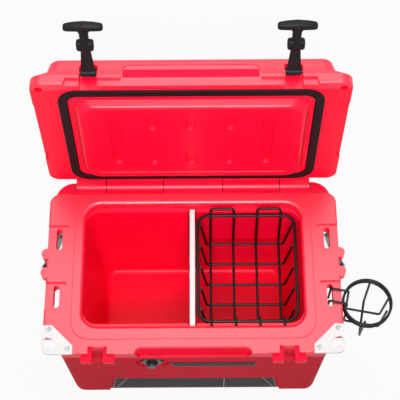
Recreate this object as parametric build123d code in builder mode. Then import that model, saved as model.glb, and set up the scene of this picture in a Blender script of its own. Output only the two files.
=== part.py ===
from build123d import *
import os
from math import acos, cos, degrees, radians, sin, sqrt, tan

# A 20 quart hard-sided ice chest with its lid standing open, at full size in millimetres.
# +X is the chest's right as seen from the front, +Y is its back, +Z is up.
# The origin is on the ground, under the middle of the chest.

# Body shell
RIM_HALF_WIDTH = 245
RIM_FRONT = 150
RIM_BACK = 138
RIM_HEIGHT = 272
RIM_CORNER = 18
RIM_EDGE = 3
RIM_THICKNESS = 24
LANDING_STEP = 2
RIM_OVERHANG = 24
SIDE_DRAFT = 1
WALL_DRAFT = 3
WALL_CORNER = 20
BASE_EDGE = 18
SKIN = 5
FOOT_HEIGHT = 6
FOOT_RADIUS = 15
FOOT_TAPER = 4
FOOT_SIDE_INSET = 26
FOOT_FRONT_INSET = 45
FOOT_BACK_INSET = 43
FOOT_STUB_RADIUS = 6
FOOT_STUB_LENGTH = 4
FOAM_DROP = 80
PORT_RADIUS = 12

# Landing band that the seal closes on, and the tub inside it
LANDING_SIDE_INSET = 45
LANDING_FRONT_INSET = 25
LANDING_BACK_INSET = 2
LANDING_CORNER = 30
LANDING_SIDE_WIDTH = 18
LANDING_FRONT_WIDTH = 22
LANDING_BACK_WIDTH = 20
TUB_CORNER = 26
WELL_CORNER = 22
TUB_FLOOR = 32
TUB_SIDE_RUN = 17
TUB_END_RUN = 12.5
TUB_FLOOR_FILLET = 12
TUB_EDGE_FILLET = 6
LEDGE_DEPTH = 15
LEDGE_WIDTH = 8.5

# Divider board and its channels
DIVIDER_X = -1.5
DIVIDER_THICKNESS = 9
CHANNEL_MOUTH = 16
CHANNEL_DEPTH = 6
DIVIDER_SIDE_PLAY = 0.75
DIVIDER_END_PLAY = 0.6
DIVIDER_EDGE = 1.5

# Tie-down pads and slots on the side ledges
PAD_WIDTH = 36
PAD_LENGTH = 48
PAD_DEPTH = 5
PAD_CORNER = 4
SLOT_INSET = 19
SLOT_LENGTH = 39
SLOT_WIDTH = 10
SLOT_YS = (54, -49)

# Bail handle and its pivots
PIVOT_Y = 9
PIVOT_DROP = 34
PIVOT_BOSS_RADIUS = 19
PIVOT_BOSS_INSET = 0.5
LOBE_RADIUS = 9
LOBE_SPACING = 34
LOBE_HEIGHT = 18
WASHER_THICKNESS = 1.2
WASHER_RADIUS = 12
BOLT_RADIUS = 5
BOLT_HEAD_RADIUS = 10
BOLT_HEAD_HEIGHT = 3
BOLT_DEPTH = 28
ARM_THICKNESS = 8
ARM_WIDTH = 24
ARM_LENGTH = 206
CROSSBAR_RADIUS = 6
GRIP_RADIUS = 15
GRIP_LENGTH = 170
GRIP_WALL_GAP = 0.5
ARM_EDGE = 2.5

# Latches, their keepers on the body and their pivots in the lid
LATCH_X = 155
NOTCH_WIDTH = 32
NOTCH_DEPTH = 13
NOTCH_DROP = 26
NOTCH_CORNER = 3
LUG_GAP = 18
LUG_WIDTH = 18.5
LUG_REACH = 10.5
LUG_DROP = 8
LUG_THICKNESS = 9.7
LUG_CORNER = 4
COLLAR_POCKET_WIDTH = 42
COLLAR_POCKET_DEPTH = 11
COLLAR_POCKET_DROP = 48
LATCH_PIVOT_RISE = 24
LATCH_PIVOT_INSET = 3.5
LATCH_PIN_RADIUS = 2
LATCH_PIN_BITE = 10
LATCH_LEAN = 7
LATCH_ROLLER_RADIUS = 7
LATCH_ROLLER_WIDTH = 23
STRAP_THICKNESS = 8
STRAP_WIDE = 21
STRAP_NARROW = 14.5
COLLAR_START = 48.5
COLLAR_LENGTH = 20
COLLAR_WIDTH = 26
COLLAR_THICKNESS = 14
COLLAR_CORNER = 4
STEM_WIDTH = 14
TEE_REACH = 97
TEE_RADIUS = 8
TEE_WIDTH = 58

# Front scoops, vent valve, plates
SCOOP_HALF_WIDTH = 95
SCOOP_DEPTH = 12
SCOOP_HEIGHT = 24
SCOOP_TAPER = 15
VENT_X = -69
VENT_DROP = 59
VENT_RECESS_RADIUS = 27.5
VENT_RECESS_DEPTH = 11
VENT_FLANGE_RADIUS = 16
VENT_FLANGE_THICKNESS = 5
VENT_SEAL_THICKNESS = 2
VENT_SEAL_INSET = 1
VENT_STEM_RADIUS = 6
VENT_NOSE_RADIUS = 8.5
VENT_NOSE_LENGTH = 9
VENT_TRAVEL = 3
VENT_SEAT_DEPTH = 1
VENT_BORE_RADIUS = 4
VENT_NOSE_EDGE = 3
VENT_PLUNGER_LENGTH = 21
VENT_SPRING_DEPTH = 29
VENT_SPRING_WIRE = 0.5
VENT_SPRING_TURNS = 4
NAMEPLATE_X = 31
NAMEPLATE_DROP = 66
NAMEPLATE_LENGTH = 143
NAMEPLATE_HEIGHT = 20
NAMEPLATE_SLANT = 8
NAMEPLATE_THICKNESS = 1.2
PANEL_TOP_HALF = 143
PANEL_BASE_HALF = 155
PANEL_TOP = 106
PANEL_DEPTH = 6
LABEL_MARGIN = 5
LABEL_THICKNESS = 0.8

# Corner plates
PLATE_THICKNESS = 3
PLATE_REACH = 50
PLATE_SHOULDER = 15
PLATE_CORNER = 12
PLATE_HOLE_SIDE_INSET = 14
PLATE_HOLE_FRONT_INSET = 17.5
PLATE_HOLE_LENGTH = 27
PLATE_HOLE_WIDTH = 15
PLATE_SCREW_INSETS = ((9.5, 43), (41.5, 10))
SCREW_HEAD_RADIUS = 4.8
SCREW_RADIUS = 2
SCREW_LENGTH = 14
CORNER_POCKET = 33
CORNER_POCKET_ROUND = 10

# Hinge
HINGE_SETBACK = 13
HINGE_DROP = 2.5
KNUCKLE_RADIUS = 10
ROD_RADIUS = 4
HINGE_HALF_LENGTH = 200
KNUCKLE_SPLITS = (50, 149.5)
KNUCKLE_GAP = 1.5
KNUCKLE_ROOT = 4
KNUCKLE_STEP = 2
KNUCKLE_ROOM = 0.7
BLOCK_REACH = 21
BLOCK_HEIGHT = 34
STOP_GAP = 0.4
ROD_CAP_RADIUS = 5
ROD_CAP_THICKNESS = 3
ROD_CAP_TAPER = 12
SHOULDER_LENGTH = 36
SHOULDER_DROP = 8
SHOULDER_ROOT = 4

# Lid, drawn shut and then turned open about the hinge
LID_OPEN = 93.5
SEAL_GAP = 2.5
LID_FRONT_INSET = 4
LID_FLANGE = 17
LID_SLOPE_TOP = 26
LID_HEIGHT = 48
CROWN_SIDE_STEP = 23
CROWN_SIDE_DRAFT = 6
CROWN_FRONT_STEP = 1
CROWN_FRONT_DRAFT = 1.5
CROWN_BACK_STEP = 8
CROWN_BACK_DRAFT = 4
CROWN_EDGE = 5
LID_SCOOP_HALF = 106
LID_SCOOP_TOP = 36
LID_SCOOP_CORNER = 14
LID_SCOOP_DEPTH = 3
LID_SCOOP_SLOPE_TOP = 25
RABBET_SIDE_INSET = 55
RABBET_HEIGHT = 12
RABBET_DEPTH = 5
LATCH_CHANNEL_WIDTH = 28
LATCH_CHANNEL_DEPTH = 15
LATCH_CHANNEL_HEIGHT = 36
SIDE_RABBET_DEPTH = 7
SIDE_RABBET_YS = (-90, 70)
SIDE_RABBET_HEIGHT = 7
SIDE_RABBET_CORNER = 5
LOCK_HOLE_RADIUS = 6
PLUG_DEPTH = 12
PLUG_SIDE_GAP = 6
PLUG_DRAFT_RUN = 7
PLUG_EDGE = 7
PLUG_BACK_ROOM = 2
FIELD_INSET = 14
FIELD_DEPTH = 1
FIELD_TAPER = 45
DIMPLE_WIDTH = 18
DIMPLE_LENGTH = 38
DIMPLE_DEPTH = 6
DIMPLE_TAPER = 20
DIMPLE_XS = (-62, -1, 61)
DIMPLE_YS = (-54, 50)
LONG_DIMPLE_X = 121
LONG_DIMPLE_LENGTH = 138
SEAL_SIDE_OFFSET = 5
SEAL_FRONT_OFFSET = 4
SEAL_BACK_OFFSET = -2
SEAL_WIDTH = 15
SEAL_CORNER = 32
SEAL_GROOVE = 4
SEAL_REST_GAP = 0.2
SEAL_EDGE = 1.5
LID_FOAM_SIDE_INSET = 40
LID_FOAM_FRONT_INSET = 30
LID_FOAM_BACK_INSET = 28
LID_FOAM_LOW = 9
LID_FOAM_HIGH = 42
LID_FOAM_DRAFT_RUN = 8
LID_PORT_RISE = 29.5
LID_PORT_RADIUS = 6
LID_PORT_INSET = 3

# Wire basket in the right-hand half
BASKET_DIVIDER_GAP = 5
BASKET_SIDE_GAP = 9
BASKET_FRONT_GAP = 13
BASKET_BACK_GAP = 15
BASKET_CORNER = 20
BASKET_RIM_WIRE = 2.5
BASKET_WIRE = 2.2
BASKET_DEPTH = 72
BASKET_TAPER = 10
BASKET_LONG_XS = ((30, 70), (110, 150))
BASKET_CROSS_YS = (81, 43, 4, -33, -70)
BASKET_BEND = 4.5
BASKET_HOOK_REACH = 10.5
WELD_GAP = 0.2

# Wire cup holder hung in the right front tie-down slot
CUP_TURN = -11
CUP_WIRE = 2
CUP_RING_RADIUS = 39.5
CUP_RING_REACH = 62
CUP_RING_DROP = 8
CUP_RING_STEP = 10
CUP_FRAME_SPACING = 22
CUP_HOOK_DROP = 45
CUP_HOOK_BACK = 0.5
CUP_DEPTH = 74
CUP_TAPER = 4
CUP_BEND = 4

# Clearances
FIT = 0.05
SEAT = 0.3
CUT_MARGIN = 5
ROOT_OVERLAP = 2

# Heights that follow from the ones above
LEDGE_Z = RIM_HEIGHT - LANDING_STEP
LID_Z = RIM_HEIGHT + SEAL_GAP
RIM_BOTTOM = LEDGE_Z - RIM_THICKNESS
FOAM_TOP = LEDGE_Z - FOAM_DROP
TUB_LEDGE_Z = RIM_HEIGHT - LEDGE_DEPTH
PIVOT_Z = LEDGE_Z - PIVOT_DROP
NOTCH_BOTTOM = LEDGE_Z - NOTCH_DROP
LUG_TOP = LEDGE_Z - LUG_DROP
LUG_BOTTOM = LUG_TOP - LUG_THICKNESS
COLLAR_POCKET_BOTTOM = LEDGE_Z - COLLAR_POCKET_DROP
VENT_Z = LEDGE_Z - VENT_DROP
NAMEPLATE_Z = LEDGE_Z - NAMEPLATE_DROP
HINGE_Z = LEDGE_Z - HINGE_DROP
BLOCK_BOTTOM = LEDGE_Z - BLOCK_HEIGHT
SHOULDER_TOP = LEDGE_Z - SHOULDER_DROP
LATCH_PIVOT_Z = LID_Z + LATCH_PIVOT_RISE
CUP_RING_TOP = LEDGE_Z - CUP_RING_DROP
CUP_BOTTOM = CUP_RING_TOP - CUP_DEPTH

# Half widths and places across
SIDE_WALL_HALF = RIM_HALF_WIDTH - RIM_OVERHANG
FOOT_X = SIDE_WALL_HALF - FOOT_SIDE_INSET
LANDING_HALF_WIDTH = RIM_HALF_WIDTH - LANDING_SIDE_INSET
TUB_HALF_WIDTH = LANDING_HALF_WIDTH - LANDING_SIDE_WIDTH
PAD_INNER_X = RIM_HALF_WIDTH - PAD_WIDTH
SLOT_X = RIM_HALF_WIDTH - SLOT_INSET
PIVOT_BOSS_FACE = RIM_HALF_WIDTH - PIVOT_BOSS_INSET
ARM_INNER_X = PIVOT_BOSS_FACE + WASHER_THICKNESS + SEAT
ARM_OUTER_X = ARM_INNER_X + ARM_THICKNESS
PLATE_HOLE_X = RIM_HALF_WIDTH - PLATE_HOLE_SIDE_INSET
CROWN_BASE_HALF = RIM_HALF_WIDTH - CROWN_SIDE_STEP
CROWN_TOP_HALF = CROWN_BASE_HALF - CROWN_SIDE_DRAFT
RABBET_HALF = RIM_HALF_WIDTH - RABBET_SIDE_INSET
SIDE_RABBET_X = RIM_HALF_WIDTH - SIDE_RABBET_DEPTH
SEAL_OUTER_HALF = LANDING_HALF_WIDTH + SEAL_SIDE_OFFSET
LID_FOAM_HALF = RIM_HALF_WIDTH - LID_FOAM_SIDE_INSET
BASKET_LEFT = DIVIDER_X + DIVIDER_THICKNESS / 2 + BASKET_DIVIDER_GAP
BASKET_RIGHT = TUB_HALF_WIDTH - BASKET_SIDE_GAP

# Distances to the front and to the back
FOOT_FRONT = RIM_FRONT - FOOT_FRONT_INSET
FOOT_BACK = RIM_BACK - FOOT_BACK_INSET
LANDING_FRONT = RIM_FRONT - LANDING_FRONT_INSET
LANDING_BACK = RIM_BACK - LANDING_BACK_INSET
TUB_FRONT = LANDING_FRONT - LANDING_FRONT_WIDTH
TUB_BACK = LANDING_BACK - LANDING_BACK_WIDTH
NOTCH_BACK = RIM_FRONT - NOTCH_DEPTH
LUG_FRONT = RIM_FRONT + LUG_REACH
COLLAR_POCKET_BACK = RIM_FRONT - COLLAR_POCKET_DEPTH
VENT_RECESS_FLOOR = RIM_FRONT - VENT_RECESS_DEPTH
PLATE_HOLE_Y = PLATE_HOLE_FRONT_INSET - RIM_FRONT
PLATE_SCREWS = [(RIM_HALF_WIDTH - across, along - RIM_FRONT) for across, along in PLATE_SCREW_INSETS]
HINGE_Y = RIM_BACK + HINGE_SETBACK
BLOCK_BACK = HINGE_Y + BLOCK_REACH
LID_FRONT = RIM_FRONT - LID_FRONT_INSET
CROWN_BACK = RIM_BACK - CROWN_BACK_STEP
LATCH_CHANNEL_BACK = LID_FRONT - LATCH_CHANNEL_DEPTH
LATCH_PIVOT_Y = LATCH_PIVOT_INSET - LID_FRONT
SEAL_FRONT = LANDING_FRONT + SEAL_FRONT_OFFSET
SEAL_BACK = LANDING_BACK + SEAL_BACK_OFFSET
LID_FOAM_FRONT = LID_FRONT - LID_FOAM_FRONT_INSET
LID_FOAM_BACK = RIM_BACK - LID_FOAM_BACK_INSET
BASKET_FRONT = TUB_FRONT - BASKET_FRONT_GAP
BASKET_BACK = TUB_BACK - BASKET_BACK_GAP

# Axes and sides
HINGE_AXIS = Axis((0, HINGE_Y, HINGE_Z), (1, 0, 0))
BOTH_SIDES = (-1, 1)


def wall_inset(z):
    """How far the drafted outer wall has come in at height z."""
    return (LEDGE_Z - z) * tan(radians(WALL_DRAFT))


def side_half(z):
    """Half the width between the drafted side walls at height z, under the overhanging rim."""
    return SIDE_WALL_HALF - (RIM_BOTTOM - z) * tan(radians(SIDE_DRAFT))


def tub_run(z, run):
    """How far a tub wall has come in at height z, out of its whole run to the tub floor."""
    return run * (TUB_LEDGE_Z - z) / (TUB_LEDGE_Z - TUB_FLOOR)


def rounded_plan(half_width, front, back, corner):
    """A rounded rectangle in the current sketch, from its half width and its front and back edges."""
    with Locations((0, (back - front) / 2)):
        RectangleRounded(2 * half_width, front + back, corner)


def opened(piece):
    """A piece of the shut lid, turned to where the open lid holds it."""
    return piece.rotate(HINGE_AXIS, -LID_OPEN)


def front_plane(z):
    """The plane of the drafted front wall at height z, facing out."""
    slope = radians(WALL_DRAFT)
    return Plane(
        origin=(0, -RIM_FRONT + wall_inset(z), z),
        x_dir=(1, 0, 0),
        z_dir=(0, -cos(slope), -sin(slope)),
    )


def wire(points, bend, radius):
    """A round wire along a bent line, in the current part."""
    with BuildLine() as route:
        FilletPolyline(*points, radius=bend)
    with BuildSketch(Plane(origin=route.line @ 0, z_dir=route.line % 0)) as section:
        Circle(radius)
    sweep(section.sketch, path=route.line)


def knuckle_spans(first):
    """X ranges of every other hinge knuckle, counted from the middle one (0) or its neighbours (1)."""
    inner, outer = KNUCKLE_SPLITS
    if first == 0:
        return ((-HINGE_HALF_LENGTH, -outer), (-inner, inner), (outer, HINGE_HALF_LENGTH))
    return ((-outer + KNUCKLE_GAP, -inner - KNUCKLE_GAP), (inner + KNUCKLE_GAP, outer - KNUCKLE_GAP))


os.makedirs("parts", exist_ok=True)


def save(piece, name):
    """Labels a finished piece and writes it."""
    piece.label = name
    export_step(piece, f"parts/{name}.step")


# Foam core of the body, between the outer wall and the tub
foam_low = FOOT_HEIGHT + SKIN
with BuildPart() as body_foam:
    for z in (foam_low, FOAM_TOP):
        inset = wall_inset(z) + SKIN
        with BuildSketch(Plane.XY.offset(z)):
            rounded_plan(
                side_half(z) - SKIN,
                RIM_FRONT - inset - PANEL_DEPTH,
                RIM_BACK - inset,
                WALL_CORNER - SKIN,
            )
    loft(ruled=True)
    fillet(body_foam.faces().sort_by(Axis.Z)[0].edges(), BASE_EDGE - SKIN)
    for z in (TUB_FLOOR - SKIN, FOAM_TOP):
        with BuildSketch(Plane.XY.offset(z)):
            rounded_plan(
                TUB_HALF_WIDTH - tub_run(z, TUB_SIDE_RUN) + SKIN,
                TUB_FRONT - LEDGE_WIDTH - tub_run(z, TUB_END_RUN) + SKIN + CHANNEL_DEPTH,
                TUB_BACK - LEDGE_WIDTH - tub_run(z, TUB_END_RUN) + SKIN + CHANNEL_DEPTH,
                TUB_CORNER,
            )
    loft(ruled=True, mode=Mode.SUBTRACT)
save(body_foam.part, "body_foam")

# Body shell: one moulded skin, round the foam and down into the tub
stop_face = HINGE_Z + (HINGE_Y - RIM_BACK) * sin(radians(LID_OPEN))
stop_top = stop_face + (LID_Z + LID_FLANGE - HINGE_Z) * cos(radians(LID_OPEN)) - STOP_GAP
with BuildPart() as body_shell:
    for z in (FOOT_HEIGHT, RIM_BOTTOM):
        inset = wall_inset(z)
        with BuildSketch(Plane.XY.offset(z)):
            rounded_plan(side_half(z), RIM_FRONT - inset, RIM_BACK - inset, WALL_CORNER)
    loft(ruled=True)
    fillet(body_shell.faces().sort_by(Axis.Z)[0].edges(), BASE_EDGE)
    # rim, overhanging the side walls
    for z in (RIM_BOTTOM, LEDGE_Z):
        inset = wall_inset(z)
        with BuildSketch(Plane.XY.offset(z)):
            rounded_plan(RIM_HALF_WIDTH - inset, RIM_FRONT - inset, RIM_BACK - inset, RIM_CORNER)
    loft(ruled=True)
    fillet(body_shell.faces().sort_by(Axis.Z)[-1].edges(), RIM_EDGE)
    # landing band
    with BuildSketch(Plane.XY.offset(LEDGE_Z)):
        rounded_plan(LANDING_HALF_WIDTH, LANDING_FRONT, LANDING_BACK, LANDING_CORNER)
    extrude(amount=LANDING_STEP)
    fillet(body_shell.faces().sort_by(Axis.Z)[-1].edges(), LANDING_STEP / 2)
    # tub: a straight mouth, then a narrower drafted well that leaves a ledge front and back
    with BuildSketch(Plane.XY.offset(RIM_HEIGHT)):
        rounded_plan(TUB_HALF_WIDTH, TUB_FRONT, TUB_BACK, TUB_CORNER)
    extrude(amount=-LEDGE_DEPTH, mode=Mode.SUBTRACT)
    for z in (TUB_LEDGE_Z, TUB_FLOOR):
        with BuildSketch(Plane.XY.offset(z)):
            rounded_plan(
                TUB_HALF_WIDTH - tub_run(z, TUB_SIDE_RUN),
                TUB_FRONT - LEDGE_WIDTH - tub_run(z, TUB_END_RUN),
                TUB_BACK - LEDGE_WIDTH - tub_run(z, TUB_END_RUN),
                WELL_CORNER,
            )
    loft(ruled=True, mode=Mode.SUBTRACT)
    floor_faces = body_shell.faces().filter_by(GeomType.PLANE)
    fillet(floor_faces.filter_by_position(Axis.Z, TUB_FLOOR - 1, TUB_FLOOR + 1)[0].edges(), TUB_FLOOR_FILLET)
    fillet(body_shell.faces().sort_by(Axis.Z)[-1].inner_wires()[0].edges(), TUB_EDGE_FILLET)
    # divider channels
    channel_half = DIVIDER_THICKNESS / 2 + DIVIDER_SIDE_PLAY
    for facing, wall in ((1, TUB_BACK - LEDGE_WIDTH), (-1, TUB_FRONT - LEDGE_WIDTH)):
        for z in (TUB_LEDGE_Z + 1, TUB_FLOOR):
            at = wall - tub_run(z, TUB_END_RUN)
            inner = at - TUB_FLOOR_FILLET - ROOT_OVERLAP
            outer = at + CHANNEL_DEPTH
            with BuildSketch(Plane.XY.offset(z)):
                with BuildLine():
                    Polyline(
                        (DIVIDER_X - CHANNEL_MOUTH / 2, facing * inner),
                        (DIVIDER_X + CHANNEL_MOUTH / 2, facing * inner),
                        (DIVIDER_X + CHANNEL_MOUTH / 2, facing * at),
                        (DIVIDER_X + channel_half, facing * outer),
                        (DIVIDER_X - channel_half, facing * outer),
                        (DIVIDER_X - CHANNEL_MOUTH / 2, facing * at),
                        close=True,
                    )
                make_face()
        loft(ruled=True, mode=Mode.SUBTRACT)
    # tie-down pads, each with a slot right through the overhanging rim
    pad_width = PAD_WIDTH + RIM_CORNER
    for side in BOTH_SIDES:
        for y in SLOT_YS:
            with BuildSketch(Plane.XY.offset(LEDGE_Z - PAD_DEPTH)):
                with Locations((side * (PAD_INNER_X + pad_width / 2), y)):
                    RectangleRounded(pad_width, PAD_LENGTH, PAD_CORNER)
            extrude(amount=2 * PAD_DEPTH, mode=Mode.SUBTRACT)
            with BuildSketch(Plane.XY.offset(LEDGE_Z)):
                with Locations((side * SLOT_X, y)):
                    SlotOverall(SLOT_LENGTH, SLOT_WIDTH, rotation=90)
            extrude(amount=RIM_BOTTOM - LEDGE_Z, mode=Mode.SUBTRACT)
    # bail pivots: a boss on each side wall, with two lobes on the ledge above it
    for side in BOTH_SIDES:
        with BuildSketch(Plane.XY.offset(RIM_HEIGHT - LOBE_HEIGHT)):
            with Locations(*[(side * RIM_HALF_WIDTH, PIVOT_Y + s * LOBE_SPACING / 2) for s in BOTH_SIDES]):
                Circle(LOBE_RADIUS)
        extrude(amount=LOBE_HEIGHT - LANDING_STEP)
        with BuildSketch(Plane.YZ.offset(side * PIVOT_BOSS_FACE)):
            with Locations((PIVOT_Y, PIVOT_Z)):
                Circle(PIVOT_BOSS_RADIUS)
        extrude(amount=side * (SIDE_WALL_HALF - SKIN - PIVOT_BOSS_FACE))
        with BuildSketch(Plane.YZ.offset(side * PIVOT_BOSS_FACE)):
            with Locations((PIVOT_Y, PIVOT_Z)):
                Circle(BOLT_RADIUS + FIT)
        extrude(amount=-side * BOLT_DEPTH, mode=Mode.SUBTRACT)
    # latch notches with their keeper lugs
    for side in BOTH_SIDES:
        for width, back, low, high in (
            (NOTCH_WIDTH, NOTCH_BACK, NOTCH_BOTTOM, RIM_HEIGHT),
            (COLLAR_POCKET_WIDTH, COLLAR_POCKET_BACK, COLLAR_POCKET_BOTTOM, LUG_BOTTOM),
        ):
            with BuildSketch(Plane.XZ.offset(back)):
                with Locations((side * LATCH_X, (low + high) / 2)):
                    RectangleRounded(width, high - low, NOTCH_CORNER)
            extrude(amount=RIM_CORNER, mode=Mode.SUBTRACT)
        with BuildSketch(Plane.XY.offset(LUG_BOTTOM)):
            for s in BOTH_SIDES:
                lug_x = side * LATCH_X + s * (LUG_GAP + LUG_WIDTH) / 2
                with Locations((lug_x, -(LUG_FRONT + NOTCH_BACK) / 2)):
                    RectangleRounded(LUG_WIDTH, LUG_FRONT - NOTCH_BACK + ROOT_OVERLAP, LUG_CORNER)
        extrude(amount=LUG_TOP - LUG_BOTTOM)
    # finger scoop in the front of the rim
    with BuildSketch(Plane.XY.offset(LEDGE_Z)):
        with Locations((0, -RIM_FRONT)):
            RectangleRounded(2 * SCOOP_HALF_WIDTH, 2 * SCOOP_DEPTH, SCOOP_DEPTH - 1)
    extrude(amount=-SCOOP_HEIGHT, taper=SCOOP_TAPER, mode=Mode.SUBTRACT)
    # vent valve recess and bore
    with BuildSketch(Plane.XZ.offset(VENT_RECESS_FLOOR)):
        with Locations((VENT_X, VENT_Z)):
            Circle(VENT_RECESS_RADIUS)
    extrude(amount=RIM_CORNER, mode=Mode.SUBTRACT)
    with BuildSketch(Plane.XZ.offset(VENT_RECESS_FLOOR)):
        with Locations((VENT_X, VENT_Z)):
            Circle(VENT_STEM_RADIUS + FIT)
    extrude(amount=-(VENT_RECESS_FLOOR - TUB_FRONT + TUB_CORNER), mode=Mode.SUBTRACT)
    # recessed panel low on the front
    with BuildSketch(front_plane(FOOT_HEIGHT)):
        with BuildLine():
            Polyline(
                (-PANEL_BASE_HALF, -PANEL_DEPTH),
                (PANEL_BASE_HALF, -PANEL_DEPTH),
                (PANEL_TOP_HALF, PANEL_TOP - FOOT_HEIGHT),
                (-PANEL_TOP_HALF, PANEL_TOP - FOOT_HEIGHT),
                close=True,
            )
        make_face()
    extrude(amount=-PANEL_DEPTH, mode=Mode.SUBTRACT)
    # corner plates lie in recesses, over gaps in the rim
    plate_edge_x = RIM_HALF_WIDTH - PLATE_REACH
    plate_edge_y = -RIM_FRONT + PLATE_REACH
    for side in BOTH_SIDES:
        with BuildSketch(Plane.XY.offset(LEDGE_Z - PLATE_THICKNESS)):
            with BuildLine():
                Polyline(
                    (side * (RIM_HALF_WIDTH + CUT_MARGIN), plate_edge_y),
                    (side * (RIM_HALF_WIDTH - PLATE_SHOULDER), plate_edge_y),
                    (side * plate_edge_x, -RIM_FRONT + PLATE_SHOULDER),
                    (side * plate_edge_x, -RIM_FRONT - CUT_MARGIN),
                    (side * (RIM_HALF_WIDTH + CUT_MARGIN), -RIM_FRONT - CUT_MARGIN),
                    close=True,
                )
            make_face()
        extrude(amount=PLATE_THICKNESS + CUT_MARGIN, mode=Mode.SUBTRACT)
        with BuildSketch(Plane.XY.offset(RIM_BOTTOM)):
            with Locations((side * RIM_HALF_WIDTH, -RIM_FRONT)):
                RectangleRounded(2 * CORNER_POCKET, 2 * CORNER_POCKET, CORNER_POCKET_ROUND)
        extrude(amount=LEDGE_Z - RIM_BOTTOM, mode=Mode.SUBTRACT)
        with Locations(*[(side * x, y, LEDGE_Z - PLATE_THICKNESS) for x, y in PLATE_SCREWS]):
            Hole(SCREW_RADIUS + FIT, SCREW_LENGTH)
    # hinge blocks, whose flat backs stop the open lid
    front_of_knuckle = (HINGE_Y - KNUCKLE_RADIUS, HINGE_Z)
    top_of_knuckle = (HINGE_Y, HINGE_Z + KNUCKLE_RADIUS)
    middle = KNUCKLE_RADIUS * sin(radians(45))
    block_root = RIM_BACK - wall_inset(BLOCK_BOTTOM) - ROOT_OVERLAP
    for low, high in knuckle_spans(0):
        with BuildSketch(Plane.YZ.offset(low)):
            with BuildLine():
                ThreePointArc(front_of_knuckle, (HINGE_Y - middle, HINGE_Z + middle), top_of_knuckle)
                Polyline(
                    top_of_knuckle,
                    (HINGE_Y + KNUCKLE_RADIUS, stop_top),
                    (BLOCK_BACK, stop_top),
                    (BLOCK_BACK, HINGE_Z - KNUCKLE_RADIUS),
                    (block_root, BLOCK_BOTTOM),
                    (RIM_BACK - KNUCKLE_ROOT, HINGE_Z),
                    front_of_knuckle,
                )
            make_face()
        extrude(amount=high - low)
    # a trough under each of the lid's knuckles, between the blocks
    trough_front = HINGE_Y - KNUCKLE_RADIUS - KNUCKLE_ROOM
    trough_floor = HINGE_Z - KNUCKLE_RADIUS - KNUCKLE_ROOM
    for side in BOTH_SIDES:
        with BuildSketch(Plane.YZ.offset(side * KNUCKLE_SPLITS[0])):
            with BuildLine():
                Polyline(
                    (RIM_BACK - KNUCKLE_ROOT, LEDGE_Z - RIM_EDGE),
                    (trough_front, LEDGE_Z - RIM_EDGE),
                    (trough_front, trough_floor),
                    (BLOCK_BACK, trough_floor),
                    (block_root, BLOCK_BOTTOM),
                    (block_root, trough_floor),
                    close=True,
                )
            make_face()
        extrude(amount=side * (KNUCKLE_SPLITS[1] - KNUCKLE_SPLITS[0]))
    # rounded shoulders outside the end blocks
    for side in BOTH_SIDES:
        with BuildSketch(Plane.XY.offset(BLOCK_BOTTOM)):
            with BuildLine():
                reach = HINGE_Y + KNUCKLE_RADIUS - RIM_BACK + SHOULDER_ROOT
                inside = (side * HINGE_HALF_LENGTH, RIM_BACK - SHOULDER_ROOT)
                near = (inside[0], inside[1] + reach)
                far = (inside[0] + side * SHOULDER_LENGTH, inside[1])
                bulge = sin(radians(45))
                halfway = (inside[0] + side * SHOULDER_LENGTH * bulge, inside[1] + reach * bulge)
                ThreePointArc(near, halfway, far)
                Line(near, inside)
                Line(inside, far)
            make_face()
        extrude(amount=SHOULDER_TOP - BLOCK_BOTTOM)
    # rod bore, foot sockets, filling port and the hollow for the foam
    with BuildSketch(Plane.YZ.offset(-HINGE_HALF_LENGTH)):
        with Locations((HINGE_Y, HINGE_Z)):
            Circle(ROD_RADIUS + FIT)
    extrude(amount=2 * HINGE_HALF_LENGTH, mode=Mode.SUBTRACT)
    foot_places = [(s * FOOT_X, y) for s in BOTH_SIDES for y in (-FOOT_FRONT, FOOT_BACK)]
    with BuildSketch(Plane.XY.offset(FOOT_HEIGHT)):
        with Locations(*foot_places):
            Circle(FOOT_STUB_RADIUS + FIT)
    extrude(amount=FOOT_STUB_LENGTH, mode=Mode.SUBTRACT)
    with BuildSketch(Plane.XY.offset(FOOT_HEIGHT)):
        Circle(PORT_RADIUS + FIT)
    extrude(amount=SKIN, mode=Mode.SUBTRACT)
    add(body_foam.part, mode=Mode.SUBTRACT)
save(body_shell.part, "body_shell")

# Rubber plug in the filling port, with a head that stands as a fifth foot
with BuildPart() as body_fill_plug:
    with BuildSketch():
        Circle(FOOT_RADIUS)
    extrude(amount=FOOT_HEIGHT, taper=FOOT_TAPER)
    with BuildSketch(Plane.XY.offset(FOOT_HEIGHT)):
        Circle(PORT_RADIUS)
    extrude(amount=SKIN)
save(body_fill_plug.part, "body_fill_plug")

# Rubber feet, each with a stub in its socket
with BuildPart() as rubber_feet:
    with BuildSketch():
        with Locations(*foot_places):
            Circle(FOOT_RADIUS)
    extrude(amount=FOOT_HEIGHT, taper=FOOT_TAPER)
    with BuildSketch(Plane.XY.offset(FOOT_HEIGHT)):
        with Locations(*foot_places):
            Circle(FOOT_STUB_RADIUS)
    extrude(amount=FOOT_STUB_LENGTH)
save(rubber_feet.part, "rubber_feet")

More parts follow.
